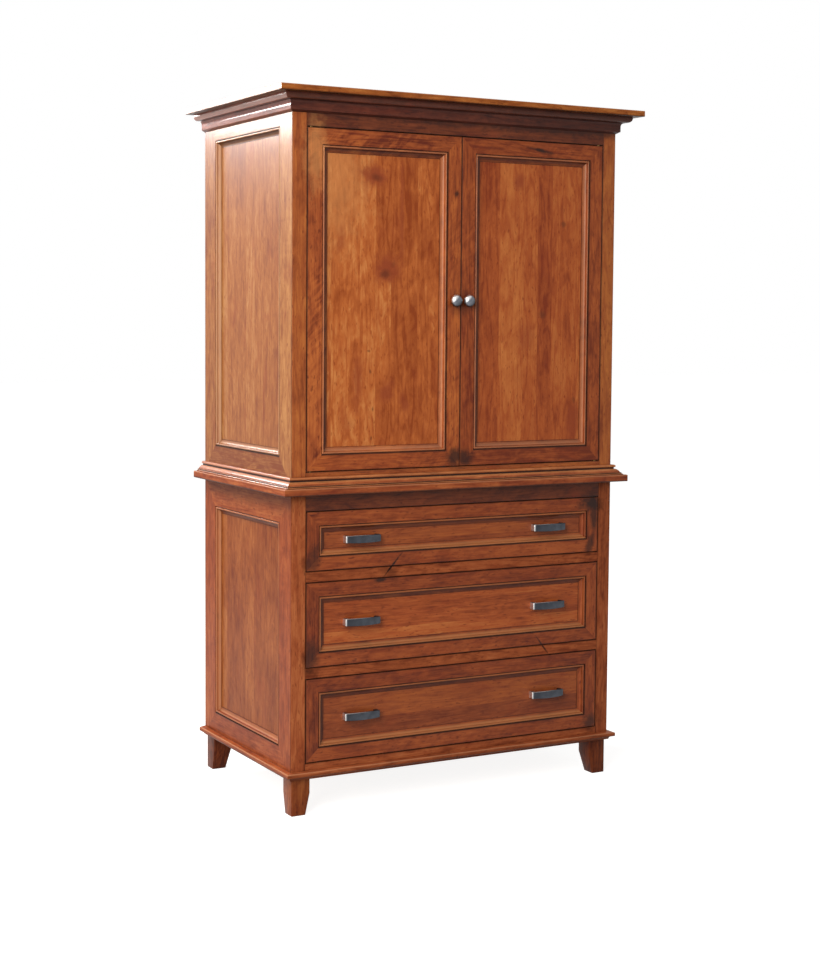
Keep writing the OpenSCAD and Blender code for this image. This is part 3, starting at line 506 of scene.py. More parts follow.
def memberOutline(flat, thick, outer, glazeAndLightSet):
    # from the outer edge in over the flat, the quirk, the bead and the cove to the groove
    s = section
    lip, quirk, bead, coveTop, coveLow, toe = glazeAndLightSet
    inner = flat + s["edge"]
    groove = inner - s["tongue"]
    beadX = flat + s["quirkWide"] + s["bead"]
    beadAt = (beadX, s["quirkDeep"], s["bead"], s["bead"])
    coveX = inner - s["toeWide"]
    coveY = s["quirkDeep"] + s["step"]
    toeY = s["panelSet"] - s["toeDeep"]
    coveAt = (coveX, coveY, coveX - beadX - s["bead"], toeY - coveY)
    back = s["panelSet"] + s["panelThick"]
    return (
        [(0, thick, 0)] + arc(outer, outer, outer, outer, 180, 270, 4, (0.9, 0.5)) + [(outer + 2, 0, 0)]
        + [(flat - 3.2, 0, 0), (flat - 2.2, 0, lip[0]), (flat - 0.2, 0.05, lip[1])]
        + [(flat + 0.25, s["quirkDeep"], quirk), (flat + s["quirkWide"], s["quirkDeep"], quirk)]
        + arc(*beadAt, 190, 235, 3, (quirk, bead)) + arc(*beadAt, 245, 300, 4, (bead, bead))
        + arc(*beadAt, 312, 350, 3, (bead + 0.2, coveTop[0]))
        + arc(*coveAt, 180, 150, 4, coveTop) + arc(*coveAt, 140, 90, 5, coveLow)
        + [(inner, toeY, 0.9 * toe), (inner, s["panelSet"], toe), (groove, s["panelSet"], 0)]
        + [(groove, back, 0), (inner, back, 0.3), (inner, thick, 0)]
    )


def flatWidth(panelEdge, frameEdge):
    # the flat of a member in mm, from where the panel's edge lies in its groove
    return (panelEdge - frameEdge) / mm - (section["edge"] - section["tongue"] + section["play"])


def mouldedFrame(prefix, stiles, origin, across, up, depth, size, shape, look, home, cuts, ownGlazeAndLight=None,
                 special=None, caseCorner=None):
    # two named stiles and two rails, mitred; shape is what memberOutline takes. A member may have its
    # own glaze and painted light, or a look of its own, or cuts.
    width, height = size
    spots = {
        f"{stiles[0]}_stile": (origin, up, across, height),
        f"{stiles[1]}_stile": (origin + across * width, up, -across, height),
        "bottom_rail": (origin, across, up, width),
        "top_rail": (origin + up * height, across, -up, width),
    }
    for name, (start, along, inward, length) in spots.items():
        glazeAndLightSet = {**memberGlazeAndLight, **(ownGlazeAndLight or {})}.get(name, "wearAndHighlight")
        bm = mitredBar(memberOutline(*shape, glazeAndLightSets[glazeAndLightSet]), length, [(0, -1, 1), (length, 1, 1)],
                       start, along, inward, depth)
        if caseCorner:
            cutAway(bm, *caseCorner)
        grain = "xyz"[max(range(3), key=lambda i: abs(along[i]))]
        finish = woodFinish((special or {}).get(name, look), grain, marks=frameMarksAndShade)
        finishPiece(bm, f"{prefix}_{name}", finish, home, cuts.get(name, ()))


# Glaze gathered in corners, gold at the upper left stile, a slash, a scratch and a knot, and painted
# shadows on the top rails under the crown and the waist top and on the left side under the waist
frameMarksAndShade = [
    mark(-14, 962, 40, 46, 0.85, deep=20), mark(16, 958, 44, 40, 0.8, deep=20),
    mark(-17, 1699, 10, 15, 0.8, 20), mark(262, 1833, 60, 9, 0.9, 10), mark(0, 1395, 60, 55, 0.4),
    # painted shadows: on the upper top rail under the crown (450, 1900), on the lower top rail under the
    # waist top (0, 880) and on the left side under the waist (-521, 862)
    mark(450, 1900, 1300, 30, 0.72), mark(-452, 1790, 50, 150, 0.5, stain="gold"),
    mark(0, 880, 2000, 26, 0.25), mark(-9, 111, 5, 9, 0.95, y=-292),
    mark(-521, 862, 12, 60, 0.3, y=0, deep=900), mark(-462, 690, 40, 44, 0.6),
    mark(-462, 430, 40, 80, 0.7), mark(-214, 668, 5, 78, 1, 42), mark(-250, 632, 26, 12, 0.9),
    mark(-222, 652, 52, 30, 0.4, 30), mark(286, 404, 4, 52, 0.95, -38), mark(460, 160, 46, 38, 0.75),
    mark(452, 812, 60, 44, 0.95), mark(462, 770, 20, 70, 0.8), mark(450, 690, 20, 50, 0.75, 20),
    mark(-455, 700, 30, 60, 0.6, 15),
]


# Side frames
pinHoles = dict(up=(541, 733), pitch=32, fromEdge=60, radius=2.5, deep=10, past=1)  # shelf pins, mm
# the left side's looks are copies toned for the strong light on it: painted shade and painted highlights
sideLooks = {"lower": ("lowerSide", "lowerFrame"), "upper": ("sideFrame", "caseFrame")}


def shelfPinHoles(sign, y):
    # three holes at each shelf: one under the pin, the pin's own and one over it
    inside = sign * (halfW - sideT)
    ends = [inside - sign * pinHoles["past"] * mm, inside + sign * pinHoles["deep"] * mm]
    heights = [deckTop + (up - pinHoles["radius"] + row * pinHoles["pitch"]) * mm
               for up in pinHoles["up"] for row in (-1, 0, 1)]
    return [((ends[0], y, z), (ends[1], y, z), pinHoles["radius"] * mm) for z in heights]


for level, looks in sideLooks.items():
    for (side, sign), look in zip(sides.items(), looks):
        node = f"{level}_{side}_frame"
        low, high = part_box(node)
        flat = flatWidth(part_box(f"{level}_{side}_panel")[0].y, low.y)
        outer = Vector((sign * halfW, frontY, low.z))
        cuts = {}
        if level == "upper":
            cuts = {"front_stile": shelfPinHoles(sign, frontY + pinHoles["fromEdge"] * mm),
                    "back_stile": shelfPinHoles(sign, backY - pinHoles["fromEdge"] * mm)}
        mouldedFrame(f"{level}_{side}_side", ("front", "back"), outer, yDir, zDir, (-sign, 0, 0),
                     (backY - frontY, high.z - low.z), (flat, sideT / mm, faceEdge["corner"]), look,
                     ("carcase", f"{level}_frame_wood", node), cuts, caseCorner=(outer, (-sign, -1, 0)))
# the left side's panels take its darker copies, painted shade; the right side's panels the usual look
for look, names in (("lowerSidePanel", "lower_left_panel"), ("sidePanel", "upper_left_panel"),
                    ("rightSidePanel", "lower_right_panel upper_right_panel")):
    dress(names, woodFinish(look, "z", ("Y", 84)))
print("side frames built")


# Face frames
rails = {
    "lower": dict(base_rail=(101, 143), lower_drawer_rail=(375, 404), upper_drawer_rail=(638, 667),
                  top_rail=(831.5, 876.5)),
    "upper": dict(deck_rail=(896, 937), top_rail=(1859, 1942.5)),
}  # from and to, mm up
hingeLeaf = dict(thick=3, wide=50, play=0.2)  # a leaf, and its clearance in the mortise, mm


def stileOutline(width, thick):
    # in plan, from the mitre round the case's corner and along the face to the opening
    c, e = faceEdge["corner"], faceEdge["arris"]
    return (arc(c, c, c, c, 225, 270, 3) + [(width - e - faceEdge["wipe"], 0, 0)]
            + arc(width - e, e, e, e, 270, 360, 3, (0.6, 0.9)) + [(width, thick, 0), (thick, thick, 0)])


def railOutline(height, thick):
    # glaze lies in the arrises and is wiped off the flat between them
    e, wipe = faceEdge["arris"], faceEdge["arris"] + faceEdge["wipe"]
    return (arc(e, e, e, e, 270, 180, 3, (0.9, 0.6)) + [(0, wipe, 0), (0, height - wipe, 0)]
            + arc(e, height - e, e, e, 180, 90, 3, (0.6, 0.9)) + [(thick, height, 0), (thick, 0, 0)])


def leafBoxes(node, spare=0):
    # the mortises of a node's hinge leaves, one at each side and end; spare opens them outwards
    low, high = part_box(node)
    play, thick, wide = [hingeLeaf[k] * mm for k in ("play", "thick", "wide")]
    boxes = []
    for left in ([low.x, high.x - wide] if high.x - low.x > 2 * wide else [low.x]):
        for z, under, over in ((low.z, spare, 0), (high.z - thick, 0, spare)):
            boxes.append(((left - play, low.y - play, z - under * mm),
                          (left + wide + play, high.y + play, z + thick + over * mm)))
    return boxes


for level, look in (("lower", "lowerFrame"), ("upper", "caseFrame")):
    node = f"{level}_face_frame"
    home = ("carcase", f"{level}_frame_wood", node)
    low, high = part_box(node)
    for side, sign in sides.items():
        bm = prism(stileOutline((halfW - openHalf) / mm, faceT / mm), high.z - low.z)
        place(bm, (sign * halfW, frontY, low.z), zDir, (-sign, 0, 0), yDir)
        finishPiece(bm, f"{level}_{side}_face_stile", woodFinish(look, "z"), home)
    cuts = leafBoxes("hinge_case_leaves") if level == "upper" else ()
    for name, (z0, z1) in rails[level].items():
        # painted shade: the top rails, under the crown and the waist top, take a darker look
        finish = woodFinish("topRail" if name == "top_rail" else look, "x", marks=frameMarksAndShade)
        board(f"{level}_face_{name}", (-openHalf, frontY, z0 * mm), (openHalf, frontY + faceT, z1 * mm),
              "x", finish, home, cuts=cuts, outline=railOutline(z1 - z0, faceT / mm))
print("face frames built")


# Mouldings: their outlines' Y runs out from the case and Z up

def baseOutline():
    # a cove under a square nose with round edges
    h, reach, cove, edge, toe = 23.5, 18, 9.5, 2.5, 4
    top = h - edge
    nose = reach - edge
    # glaze values: painted shade in the cove and under the nose, a painted highlight on its top, and glaze in
    # the joint at the case
    return ([(0, 0, 0)] + arc(reach - 4, 0, reach - 4 - toe, cove, 180, 90, 8, (0.3, 0.6))
            + arc(nose, cove + edge, edge, edge, -90, 0, 5, (0.7, 0.3))
            + arc(nose, top - edge, edge, edge, 0, 90, 5, (-0.1, -0.7))
            + [(nose - 3, top + 0.5, 0), (edge, h - 0.5, 0), (0, h, 0.9)])


def waistOutline():
    # two fillets, a flat ovolo and a quirked bead
    h, reach, bead, beadX, neckX, footZ, lean = 29, 26, 4, 6.5, 9.5, 6.5, math.radians(20)
    stepX = reach - 3
    beadZ = h - 0.5 - bead
    top = beadZ - bead - 4
    share = math.cos(lean) - math.sin(lean)
    rx, rz = (reach - 6 - neckX) / share, (top - footZ) / share
    ovolo = (neckX - rx * math.sin(lean), footZ - rz * math.sin(lean), rx, rz)
    # glaze values: glaze in the quirk and the fillets' inner corners, painted shade under the lowest fillet,
    # and painted highlights on the fillets' upper faces, the ovolo and the bead
    return ([(0, 0, 0), (reach - 0.4, 0, 1), (reach, 0.6, 0.8), (reach, 1.4, 0), (reach, 2.4, -0.5)]
            + [(reach - 0.5, 3, -0.5), (stepX + 0.8, 3, 0.9), (stepX, 3.4, 1), (stepX, 5.6, 0.9)]
            + [(stepX - 0.2, 6.1, 0), (stepX - 0.5, footZ, -0.5), (reach - 5.2, footZ, 1)]
            + arc(*ovolo, 20, 42, 5, (0.5, -0.1)) + arc(*ovolo, 47, 70, 5, (-0.2, -0.4))
            + [(beadX + 0.8, top, 1), (beadX, top + 0.4, 1)]
            + arc(beadX, beadZ, bead, bead, -90, -40, 4, (1, 0.2))
            + arc(beadX, beadZ, bead, bead, -25, 90, 9, (-0.3, -0.1)) + [(0, h, 0.9)])


def crownOutline():
    # a sloping toe, a cove, a fillet, a ledge and an ovolo under the cap
    h, reach, toe, swell, cove = 48.5, 35, 10, 11, 10
    ovolo = (reach - swell, h - 5.5, swell, swell)
    ledgeZ = ovolo[1] - swell
    coveX = ovolo[0] - 9
    # glaze values: glaze in the joints and the ledge's corner, painted shade in the upper cove and under the
    # ovolo, and painted highlights on the toe, the fillet and the ovolo
    return ([(0, 0, 0.7)] + arc(toe - 3, 6.5, 3, 1.6, -55, 0, 4, (0.2, -0.1))
            + arc(coveX, ledgeZ - 2 - cove, coveX - toe, cove, 180, 90, 10, (0, 0.4))
            + [(coveX + 0.3, ledgeZ - 1.8, -0.15), (coveX + 0.3, ledgeZ - 0.3, 0.7)]
            + [(coveX + 0.8, ledgeZ, 0.9)] + arc(*ovolo, -90, -62, 4, (0.5, -0.4))
            + arc(*ovolo, -54, 0, 8, (-0.2, -0.25)) + [(reach, h, 0.1), (0, h, 0)])


crownMarks = [mark(560, 1920, 900, 80, 0.45, y=-300, deep=200)]  # the crown is darker to the right
mitreSpare = 5  # what a bar has past its mitre before the cut, mm


def wrapMoulding(node, outline, look, sideLook, slotName):
    # mitred round the front and the two sides
    home = ("carcase", slotName, node)
    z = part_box(node)[0].z
    past = (max(point[0] for point in outline) + mitreSpare) * mm
    length = 2 * (halfW + past)
    bm = mitredBar(outline, length, [(past, -1, -1), (length - past, 1, -1)],
                   (-length / 2, frontY, z), xDir, -yDir, zDir)
    finishPiece(bm, f"{node}_front", woodFinish(look, "x", marks=crownMarks), home)
    deep = backY - frontY
    for side, sign in sides.items():
        bm = mitredBar(outline, deep + past, [(deep, 1, -1)], (sign * halfW, backY, z), -yDir,
                       (sign, 0, 0), zDir)
        # the left side takes a copy of the look toned for the light there: painted shade and painted
        # highlights
        finishPiece(bm, f"{node}_{side}", woodFinish(sideLook if side == "left" else look, "y"), home)


wrapMoulding("base_moulding", baseOutline(), "lowerFrame", "lowerSide", "lower_frame_wood")
wrapMoulding("waist_moulding", waistOutline(), "waist", "waistSide", "upper_frame_wood")
wrapMoulding("crown_moulding", crownOutline(), "crown", "crownSide", "crown_wood")


# Waist top and crown cap: mitred edge boards round a flush core
edgeBoard = 90  # mm wide


def slabOutline(w, h, r):
    # a square edge with round arrises, a painted highlight on the upper one and painted shade on the lower
    # one
    return (arc(r, r, r, r, 270, 180, 4, (1, 0.7)) + [(0, r + 3, 0), (0, h - r - 2, 0)]
            + arc(r, h - r, r, r, 180, 90, 4, (-0.35, -0.4)) + [(r + 3, h, 0), (w, h, 0), (w, 0, 0)])


def edgedSlab(node, look, sideLook, slotName, radius):
    home = ("carcase", slotName, node)
    low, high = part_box(node)
    size = high - low
    outline = slabOutline(edgeBoard, size.z / mm, radius)
    bm = mitredBar(outline, size.x, [(0, -1, 1), (size.x, 1, 1)], low, xDir, yDir, zDir)
    finishPiece(bm, f"{node}_front_board", woodFinish(look, "x"), home)
    for side, sign in sides.items():
        bm = mitredBar(outline, size.y, [(0, -1, 1)], (high.x if sign > 0 else low.x, low.y, low.z), yDir,
                       (-sign, 0, 0), zDir)
        # the left side's edge takes a copy of the look toned for the light there
        finishPiece(bm, f"{node}_{side}_board", woodFinish(sideLook if side == "left" else look, "y"), home)
    inset = edgeBoard * mm
    board(f"{node}_core", (low.x + inset, low.y + inset, low.z), (high.x - inset, high.y, high.z), "x",
          woodFinish(look, "x"), home, corners="")


edgedSlab("waist_top", "slab", "slabSide", "lower_frame_wood", 2)
edgedSlab("crown_cap", "cap", "capSide", "crown_wood", 1.2)
print("mouldings and slabs built")


# Feet
footShape = dict(taperTop=60, tip=42, edge=2)  # where the taper starts, width at the floor, rounding, mm
for spot in ("front_left", "front_right", "back_left", "back_right"):
    node = f"foot_{spot}"
    low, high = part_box(node)
    size = high - low
    taper = footShape["taperTop"] * mm
    bm = bmesh.new()
    bmesh.ops.create_cube(bm, size=1)
    place(bm, (size.x / 2, size.y / 2, (size.z + taper) / 2), xDir * size.x, yDir * size.y,
          zDir * (size.z - taper))
    bottom = min(bm.faces, key=lambda face: face.calc_center_median().z)
    grown = bmesh.ops.extrude_face_region(bm, geom=[bottom])
    tip = [g for g in grown["geom"] if isinstance(g, bmesh.types.BMVert)]
    bmesh.ops.delete(bm, geom=[bottom], context="FACES_ONLY")
    bmesh.ops.translate(bm, vec=(0, 0, -taper), verts=tip)
    share = footShape["tip"] * mm / size.x
    bmesh.ops.scale(bm, vec=(share, share, 1), verts=tip)
    steep = [e for e in bm.edges if abs((e.verts[0].co - e.verts[1].co).normalized().z) > 0.9 or
             max(v.co.z for v in e.verts) < 1e-6]
    bmesh.ops.bevel(bm, geom=steep, offset=footShape["edge"] * mm, segments=3, profile=0.5,
                    affect="EDGES", material=-1)
    right, back = "right" in spot, "back" in spot
    corner = (high.x if right else low.x, high.y if back else low.y, low.z)
    place(bm, corner, (-1 if right else 1, 0, 0), (0, -1 if back else 1, 0), zDir)
    finishPiece(bm, f"foot_post_{spot}", woodFinish("foot", "z"), ("carcase", "lower_frame_wood", node))
print("feet built")


# Doors and drawer fronts
arris = 1  # rounding of their outer edges, mm
fronts = dict(left_door="left_door", right_door="right_door", keyboard_front="keyboard_front",
              middle_front="middle_drawer", bottom_front="bottom_drawer")  # and their bodies
curlyMembers = dict(left_stile="curlyFrame", top_rail="curlyFrame")  # of the left door
# the drawers' bottom rails get stronger painted highlights in their coves, and their right stiles a little
# painted shade and no highlight
drawerGlazeAndLight = dict(right_stile="plain", bottom_rail="brightLitCoves")
# The drop front's slots for its brackets' arms and bores for their pins, in mm: out from the middle,
# in from the face and up from the lower edge
flap = dict(arm=(465.3, 468.3), play=0.5, bore=(459, 477), boreRadius=1.55, pinIn=6, pinUp=12, slotHalf=4,
            past=1)


def flapSlots(sign):
    low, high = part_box("keyboard_front_frame")
    past, half = flap["past"] * mm, flap["slotHalf"] * mm
    pinY, pinZ = frontY + flap["pinIn"] * mm, low.z + flap["pinUp"] * mm
    x0, x1 = sorted(sign * x * mm for x in (flap["arm"][0] - flap["play"], flap["arm"][1] + flap["play"]))
    slot = ((x0, pinY - half, low.z - past), (x1, high.y + past, pinZ + half))
    start, end = [(sign * x * mm, pinY, pinZ) for x in flap["bore"]]
    return [slot, (start, end, flap["boreRadius"] * mm)]


for name, body in fronts.items():
    node = f"{name}_frame"
    low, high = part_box(node)
    flat = flatWidth(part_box(f"{name}_panel")[0].x, low.x)
    isDoor = name.endswith("door")
    cuts = {}
    if isDoor:
        side = name.split("_")[0]
        mortises = leafBoxes(f"{side}_hinge_leaves", spare=1)
        cuts = dict.fromkeys(("bottom_rail", "top_rail", f"{side}_stile"), mortises)
    if name == "keyboard_front":
        cuts = {f"{side}_stile": flapSlots(sign) for side, sign in sides.items()}
    mouldedFrame(name, ("left", "right"), low, xDir, zDir, yDir, (high.x - low.x, high.z - low.z),
                 (flat, faceT / mm, arris), "doorFrame" if isDoor else "drawerFrame",
                 (body, "upper_frame_wood" if isDoor else "drawer_front_wood", node), cuts,
                 ownGlazeAndLight=None if isDoor else drawerGlazeAndLight,
                 special=curlyMembers if name == "left_door" else None)

# Knots, and patches of a stain, on the door panels
doorKnots = {
    "left": [
        (-400, 1740, 170, 300, 0.45, 0, "gold"), (-272, 1741, 66, 48, 0.9, 10, "red"),
        (-229, 1486, 64, 60, 0.9, -8, "red"), (-371, 1560, 18, 60, 0.5, 6, "red"),
        (-318, 1180, 26, 110, 0.6, 0, "red"), (-226, 1150, 34, 46, 0.7, 25, "red"),
        (-173, 1120, 22, 44, 0.6, -20, "red"), (-183, 1640, 10, 260, 0.6, 0, "red"),
        (-262, 1733, 22, 16, 0.4, 20), (-232, 1474, 26, 20, 0.45, -15), (-208, 1500, 10, 16, 0.22, 30),
        (-284, 1262, 8, 5, 0.5), (-278, 1206, 5, 8, 0.5), (-271, 1103, 5, 9, 0.5), (-275, 1023, 5, 9, 0.5),
    ],
    "right": [
        (198, 1740, 30, 34, 0.7, 12, "red"), (351, 1627, 12, 14, 0.45), (281, 1365, 20, 18, 0.4),
        (227, 1300, 44, 70, 0.5, 0, "red"), (392, 1060, 40, 90, 0.8, 0, "red"),
        (393, 1118, 10, 16, 0.35, -12),
    ],
}
for side, knots in doorKnots.items():
    marks = [mark(*knot, y=-262, deep=20) for knot in knots]
    dress(f"{side}_door_panel", woodFinish(f"{side}DoorPanel", "z", ("X", 66), marks))
dress("keyboard_front_panel bottom_front_panel", woodFinish("drawerPanel", "x", ("Z", 118)))
dress("middle_front_panel", woodFinish("middlePanel", "x", ("Z", 118)))
print("doors and drawer fronts built")


# Knobs
knobShape = dict(baseR=9, baseT=2, round=0.5, neckR=5.5, rimR=17, rimUp=12.5, out=25)
screw = dict(radius=4, thick=2.5, slot=1, slotDeep=0.9, cutHalf=6, cutOut=4)  # a slotted pan head, mm


def screwHead(bm, centre):
    # a pan head that faces +Y
    made = bmesh.ops.create_cone(bm, cap_ends=True, segments=28, radius1=screw["radius"] * mm,
                                 radius2=screw["radius"] * mm * 0.82, depth=screw["thick"] * mm)
    place(bm, centre + yDir * (screw["thick"] * mm / 2), xDir, -zDir, yDir, made["verts"])


def knobProfile():
    # (radius, height) from the base round the neck and out over the dome
    k = knobShape
    dome = arc(0, k["rimUp"], k["rimR"], k["out"] - k["rimUp"], 0, 90, 16)[:-1]
    back = arc(0, k["rimUp"], k["rimR"], k["rimUp"] - 3, -68, 0, 9)[:-1]
    foot = k["baseR"] - k["round"]
    return ([(0, 0), (foot, 0), (k["baseR"], k["round"]), (k["baseR"], k["baseT"] - k["round"])]
            + [(foot, k["baseT"]), (k["neckR"] + 0.6, k["baseT"] + 0.5), (k["neckR"], k["baseT"] + 1.2)]
            + [point[:2] for point in back + dome] + [(0, k["out"])])


for side, sign in sides.items():
    node = f"{side}_knob"
    low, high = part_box(node)
    centre = Vector(((low.x + high.x) / 2, frontY, (low.z + high.z) / 2))
    home = (f"{side}_door", "pewter", node)
    bm = bmesh.new()
    verts = [bm.verts.new((r * mm, 0, h * mm)) for r, h in knobProfile()]
    edges = [bm.edges.new(pair) for pair in zip(verts, verts[1:])]
    bmesh.ops.spin(bm, geom=verts + edges, cent=(0, 0, 0), axis=(0, 0, 1), dvec=(0, 0, 0),
                   angle=math.tau, steps=56, use_merge=True)
    bmesh.ops.remove_doubles(bm, verts=bm.verts, dist=1e-7)
    place(bm, centre, xDir, zDir, -yDir)
    # painted highlight towards the upper left and painted shade away from it
    glazeAndLight = bm.verts.layers.float.new("glazeAndLight")
    for vert in bm.verts:
        lit = ((vert.co.z - centre.z) - (vert.co.x - centre.x)) / (knobShape["rimR"] * math.sqrt(2) * mm)
        vert[glazeAndLight] = -min(1, max(0, (lit - 0.3) / 0.35)) if lit > 0 else min(0.75, -lit)
    finishPiece(bm, f"{side}_door_knob", knobPewter, home, sharp=40)
    bm = bmesh.new()
    inside = centre + Vector((0, faceT, 0))
    screwHead(bm, inside)
    slotLow = Vector((-screw["cutHalf"], screw["thick"] - screw["slotDeep"], -screw["slot"] / 2)) * mm
    slotHigh = Vector((screw["cutHalf"], screw["cutOut"], screw["slot"] / 2)) * mm
    finishPiece(bm, f"{side}_knob_screw", zinc, home, cuts=[(inside + slotLow, inside + slotHigh)])


# Bow pulls
pullShape = dict(screws=96, leg=12, height=19, crown=1.25, rise=26, bow=8, bar=5, corner=3, edge=1.1)


def bowedEdge(half, top, radius, corner):
    # a bowed line at -top between two straight ends, with round corners
    cy = radius - top
    filletY = cy - math.sqrt((radius - corner) ** 2 - (half - corner) ** 2)
    turn = math.degrees(math.atan2(half - corner, cy - filletY))
    return ([(-half, 0, 0)] + arc(corner - half, filletY, corner, corner, 180, 270 - turn, 6)
            + arc(0, cy, radius, radius, 270 - turn, 270 + turn, 24)[1:-1]
            + arc(half - corner, filletY, corner, corner, 270 + turn, 360, 6) + [(half, 0, 0)])


def bowPull(middle):
    # a bowed front on two legs, crowned a little along its edges
    p = pullShape
    half = (p["screws"] + p["leg"]) / 2
    radius = (half ** 2 + p["bow"] ** 2) / (2 * p["bow"])
    outer = bowedEdge(half, p["rise"], radius, p["corner"])
    inner = bowedEdge(half - p["leg"], p["rise"] - p["bar"], radius - p["bar"], p["corner"])
    bm = prism(outer + inner[::-1], p["height"] * mm)
    place(bm, (0, 0, -p["height"] / 2 * mm), zDir, xDir, yDir)
    for vert in bm.verts:
        vert.co.z *= 1 + p["crown"] / (p["height"] / 2) * (1 - (vert.co.x / (half * mm)) ** 2)
    bmesh.ops.recalc_face_normals(bm, faces=bm.faces)
    rims = [e for e in bm.edges if e.calc_face_angle(0) > 1.2 and e.verts[0].co.z * e.verts[1].co.z > 0
            and min(v.co.y for v in e.verts) < -1e-5]
    bmesh.ops.bevel(bm, geom=rims, offset=p["edge"] * mm, segments=3, profile=0.5, affect="EDGES",
                    material=-1, clamp_overlap=True)
    # painted highlight on the left end and along the upper edge towards it, and painted shade over the face,
    # strongest beside that end
    glazeAndLight = bm.verts.layers.float["glazeAndLight"]
    for vert in bm.verts:
        x, y, z = vert.co / mm
        z /= 1 + p["crown"] / (p["height"] / 2) * (1 - (x / half) ** 2)
        fade = min(1, max(0, (half * 0.55 - x) / half))
        atEnd = max(0, 1 - (x + half) / 3.5)
        atTop = min(1, max(0, (z - p["height"] / 2 + 0.8) / 0.6)) if y < -p["rise"] * 0.4 else 0
        wearAndHighlight = max(atEnd, 0.8 * atTop * fade)
        vert[glazeAndLight] = -wearAndHighlight if wearAndHighlight > 0.05 else max(0.05, 0.05 - 0.5 * x / half)
    bmesh.ops.translate(bm, vec=middle, verts=bm.verts)
    return bm


for name, body in (("keyboard", "keyboard_front"), ("middle", "middle_drawer"), ("bottom", "bottom_drawer")):
    node = f"{name}_pulls"
    low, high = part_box(node)
    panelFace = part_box(f"{name}_front_panel")[0].y
    z = (low.z + high.z) / 2
    reach = high.x - (pullShape["screws"] + pullShape["leg"]) / 2 * mm
    bm = bmesh.new()
    for side, sign in sides.items():
        pull = bowPull(Vector((sign * reach, panelFace, z)))
        finishPiece(pull, f"{name}_{side}_pull", pewter, (body, "pewter", node), sharp=40)
        for dx in (-pullShape["screws"] / 2, pullShape["screws"] / 2):
            screwHead(bm, Vector((sign * reach + dx * mm, high.y - screw["thick"] * mm, z)))
    finishPiece(bm, f"{name}_pull_screws", zinc, (body, "pewter", node))
print("knobs and pulls built")


# Inside
shelves = dict(lower_shelf=(1478, 1498), upper_shelf=(1670, 1690))  # from and to, mm up
low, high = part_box("shelves")
for name, (z0, z1) in shelves.items():
    board(name, (low.x, low.y, z0 * mm), (high.x, high.y, z1 * mm), "x", woodFinish("shelf", "x"),
          ("carcase", "shelf_wood", "shelves"), radius=3, corners="ab")

# A drawer box's sides, its bottom and how far that lies in them, and the keyboard's tray, mm
boxShape = dict(thick=12, round=2.5, bottomUp=10, bottomThick=6, groove=2, tray=(678.5, 696.5))
for name in ("middle", "bottom", "keyboard"):
    home = (f"{name}_drawer", "drawer_box_wood", f"{name}_drawer_box")
    low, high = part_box(home[2])
    t = boxShape["thick"] * mm
    walls = dict(left_side=(low.x, low.x + t, low.y, high.y, "y"),
                 right_side=(high.x - t, high.x, low.y, high.y, "y"),
                 front=(low.x + t, high.x - t, low.y, low.y + t, "x"),
                 back=(low.x + t, high.x - t, high.y - t, high.y, "x"))
    if name == "keyboard":
        del walls["front"]
    for part, (x0, x1, y0, y1, grain) in walls.items():
        board(f"{name}_box_{part}", (x0, y0, low.z), (x1, y1, high.z), grain, woodFinish("plain", grain),
              home, radius=boxShape["round"], corners="bc")
    if name == "keyboard":
        trayLow, trayTop = boxShape["tray"]
        board("keyboard_tray", (low.x + t, low.y, trayLow * mm), (high.x - t, high.y - t, trayTop * mm), "x",
              woodFinish("shelf", "x"), home, corners="ab")
    else:
        bottomZ = low.z + boxShape["bottomUp"] * mm
        inset = t - boxShape["groove"] * mm
        board(f"{name}_box_bottom", (low.x + inset, low.y + inset, bottomZ),
              (high.x - inset, high.y - inset, bottomZ + boxShape["bottomThick"] * mm), "x",
              woodFinish("ply", "x"), home, corners="")
    dress(f"{name}_drawer_members {name}_middle_members", zinc)

dress("monitor_deck upper_ceiling", woodFinish("shelf", "x"))
dress("lower_bottom slide_cleats", woodFinish("plain", "y"))
dress("lower_back upper_back", woodFinish("ply", "z"))
dress("shelf_pins hinge_case_leaves left_hinge_leaves right_hinge_leaves", brass)
dress("left_strike right_strike flap_brackets slide_case_members", zinc)
dress("cable_grommets door_catch", blackPlastic)
print("inside dressed")


# Studio
studio = dict(floor=60, floorColor="#b0aeaa", glow=0.88, worldStrength=0.32)

bm = bmesh.new()
bmesh.ops.create_grid(bm, x_segments=1, y_segments=1, size=studio["floor"] / 2)
floor = addObject("studio_floor", bm)


def seenDirectly(add):
    # 1 for what the camera sees, in the open, in a reflection or through glass
    path = add("LightPath").outputs
    seen = add("Math MAXIMUM", path["Is Camera Ray"], path["Is Glossy Ray"])
    return add("Math MAXIMUM", seen, path["Is Transmission Ray"])


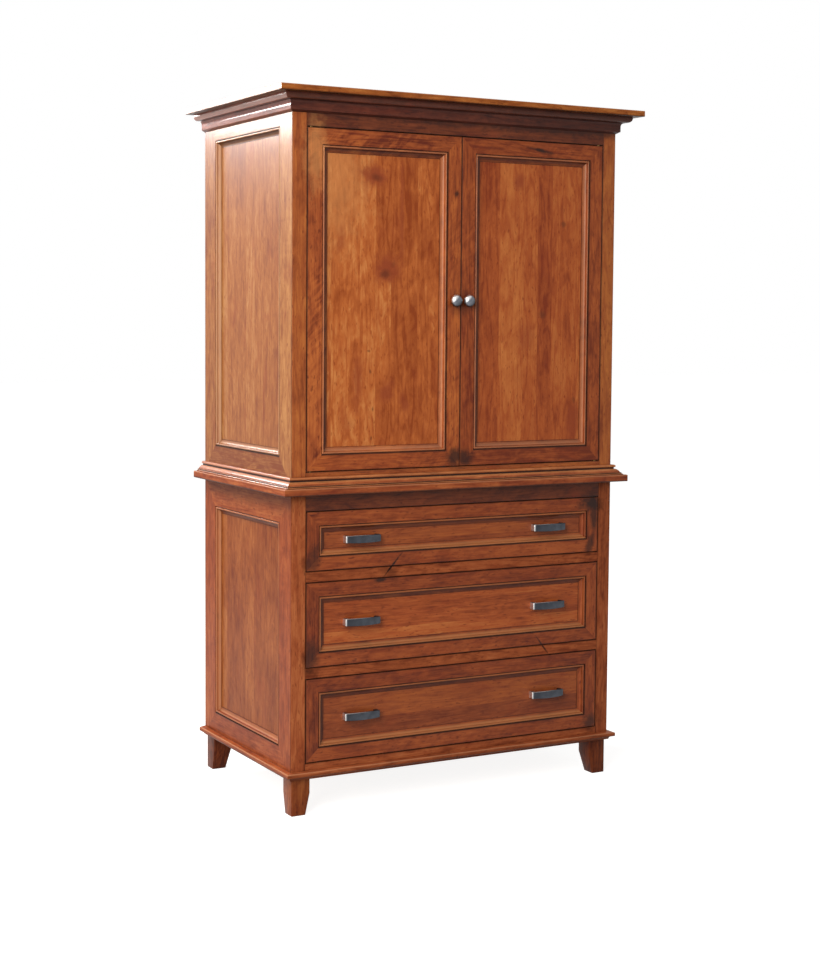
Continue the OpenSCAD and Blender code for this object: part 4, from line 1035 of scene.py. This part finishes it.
# matt paint on a studio floor: an even pale surface that takes a soft shadow
floorPaint, add = emptied(bpy.data.materials.new("matt floor paint"))
lift = add("Math MULTIPLY", seenDirectly(add), studio["glow"])
matt = add("BsdfDiffuse", hexColor(studio["floorColor"]))
glow = add("Emission", (1, 1, 1, 1), lift)
both = add("AddShader", matt, glow)
add("OutputMaterial", both)
floor.data.materials.append(floorPaint)

scene.world, add = emptied(bpy.data.worlds.new("studio"))
strength = add("MapRange", seenDirectly(add), 0, 1, studio["worldStrength"], 1)
sky = add("Background", (1, 1, 1, 1), strength)
add("OutputWorld", sky)

lamps = dict(
    window=dict(at=(-1.75, 3.0, 2.8), aim=(-0.5, 0.0, 1.7), size=(1.6, 1.2), power=185),
    softbox=dict(at=(-3.75, -3.25, 2.9), aim=(0, -0.2, 1.0), size=(2.2, 3.2), power=248),
    skylight=dict(at=(-2.4, -0.6, 3.6), aim=(-0.3, -0.2, 1.6), size=(1.6, 1.6), power=50),
)
for name, lamp in lamps.items():
    data = bpy.data.lights.new(name, "AREA")
    data.shape = "RECTANGLE"
    data.size, data.size_y = lamp["size"]
    data.energy = lamp["power"]
    obj = addObject(name, data)
    obj.location = lamp["at"]
    obj.rotation_euler = (Vector(lamp["aim"]) - Vector(lamp["at"])).to_track_quat("-Z", "Y").to_euler()

# Camera: at eye height, a little left of the piece and turned in to it
view = dict(at=(-2.4627, -4.4208, 1.3483), yaw=28.556, pitch=-3.747, roll=0.395,
            lens=64.78, sensor=36, shift=(0.0153, -0.0471))
yaw, pitch, roll = [math.radians(view[k]) for k in ("yaw", "pitch", "roll")]
ahead = Vector((math.sin(yaw) * math.cos(pitch), math.cos(yaw) * math.cos(pitch), math.sin(pitch)))
right = Vector((math.cos(yaw), -math.sin(yaw), 0))
up = right.cross(ahead)
lensRight = right * math.cos(roll) + up * math.sin(roll)
lensUp = up * math.cos(roll) - right * math.sin(roll)
cameraData = bpy.data.cameras.new("camera")
cameraData.lens = view["lens"]
cameraData.sensor_width = view["sensor"]
cameraData.sensor_fit = "AUTO"
cameraData.shift_x, cameraData.shift_y = view["shift"]
camera = addObject("camera", cameraData)
turn = Matrix((lensRight, lensUp, -ahead)).transposed().to_4x4()
camera.matrix_world = Matrix.Translation(view["at"]) @ turn
scene.camera = camera
scene.view_settings.view_transform = "Standard"
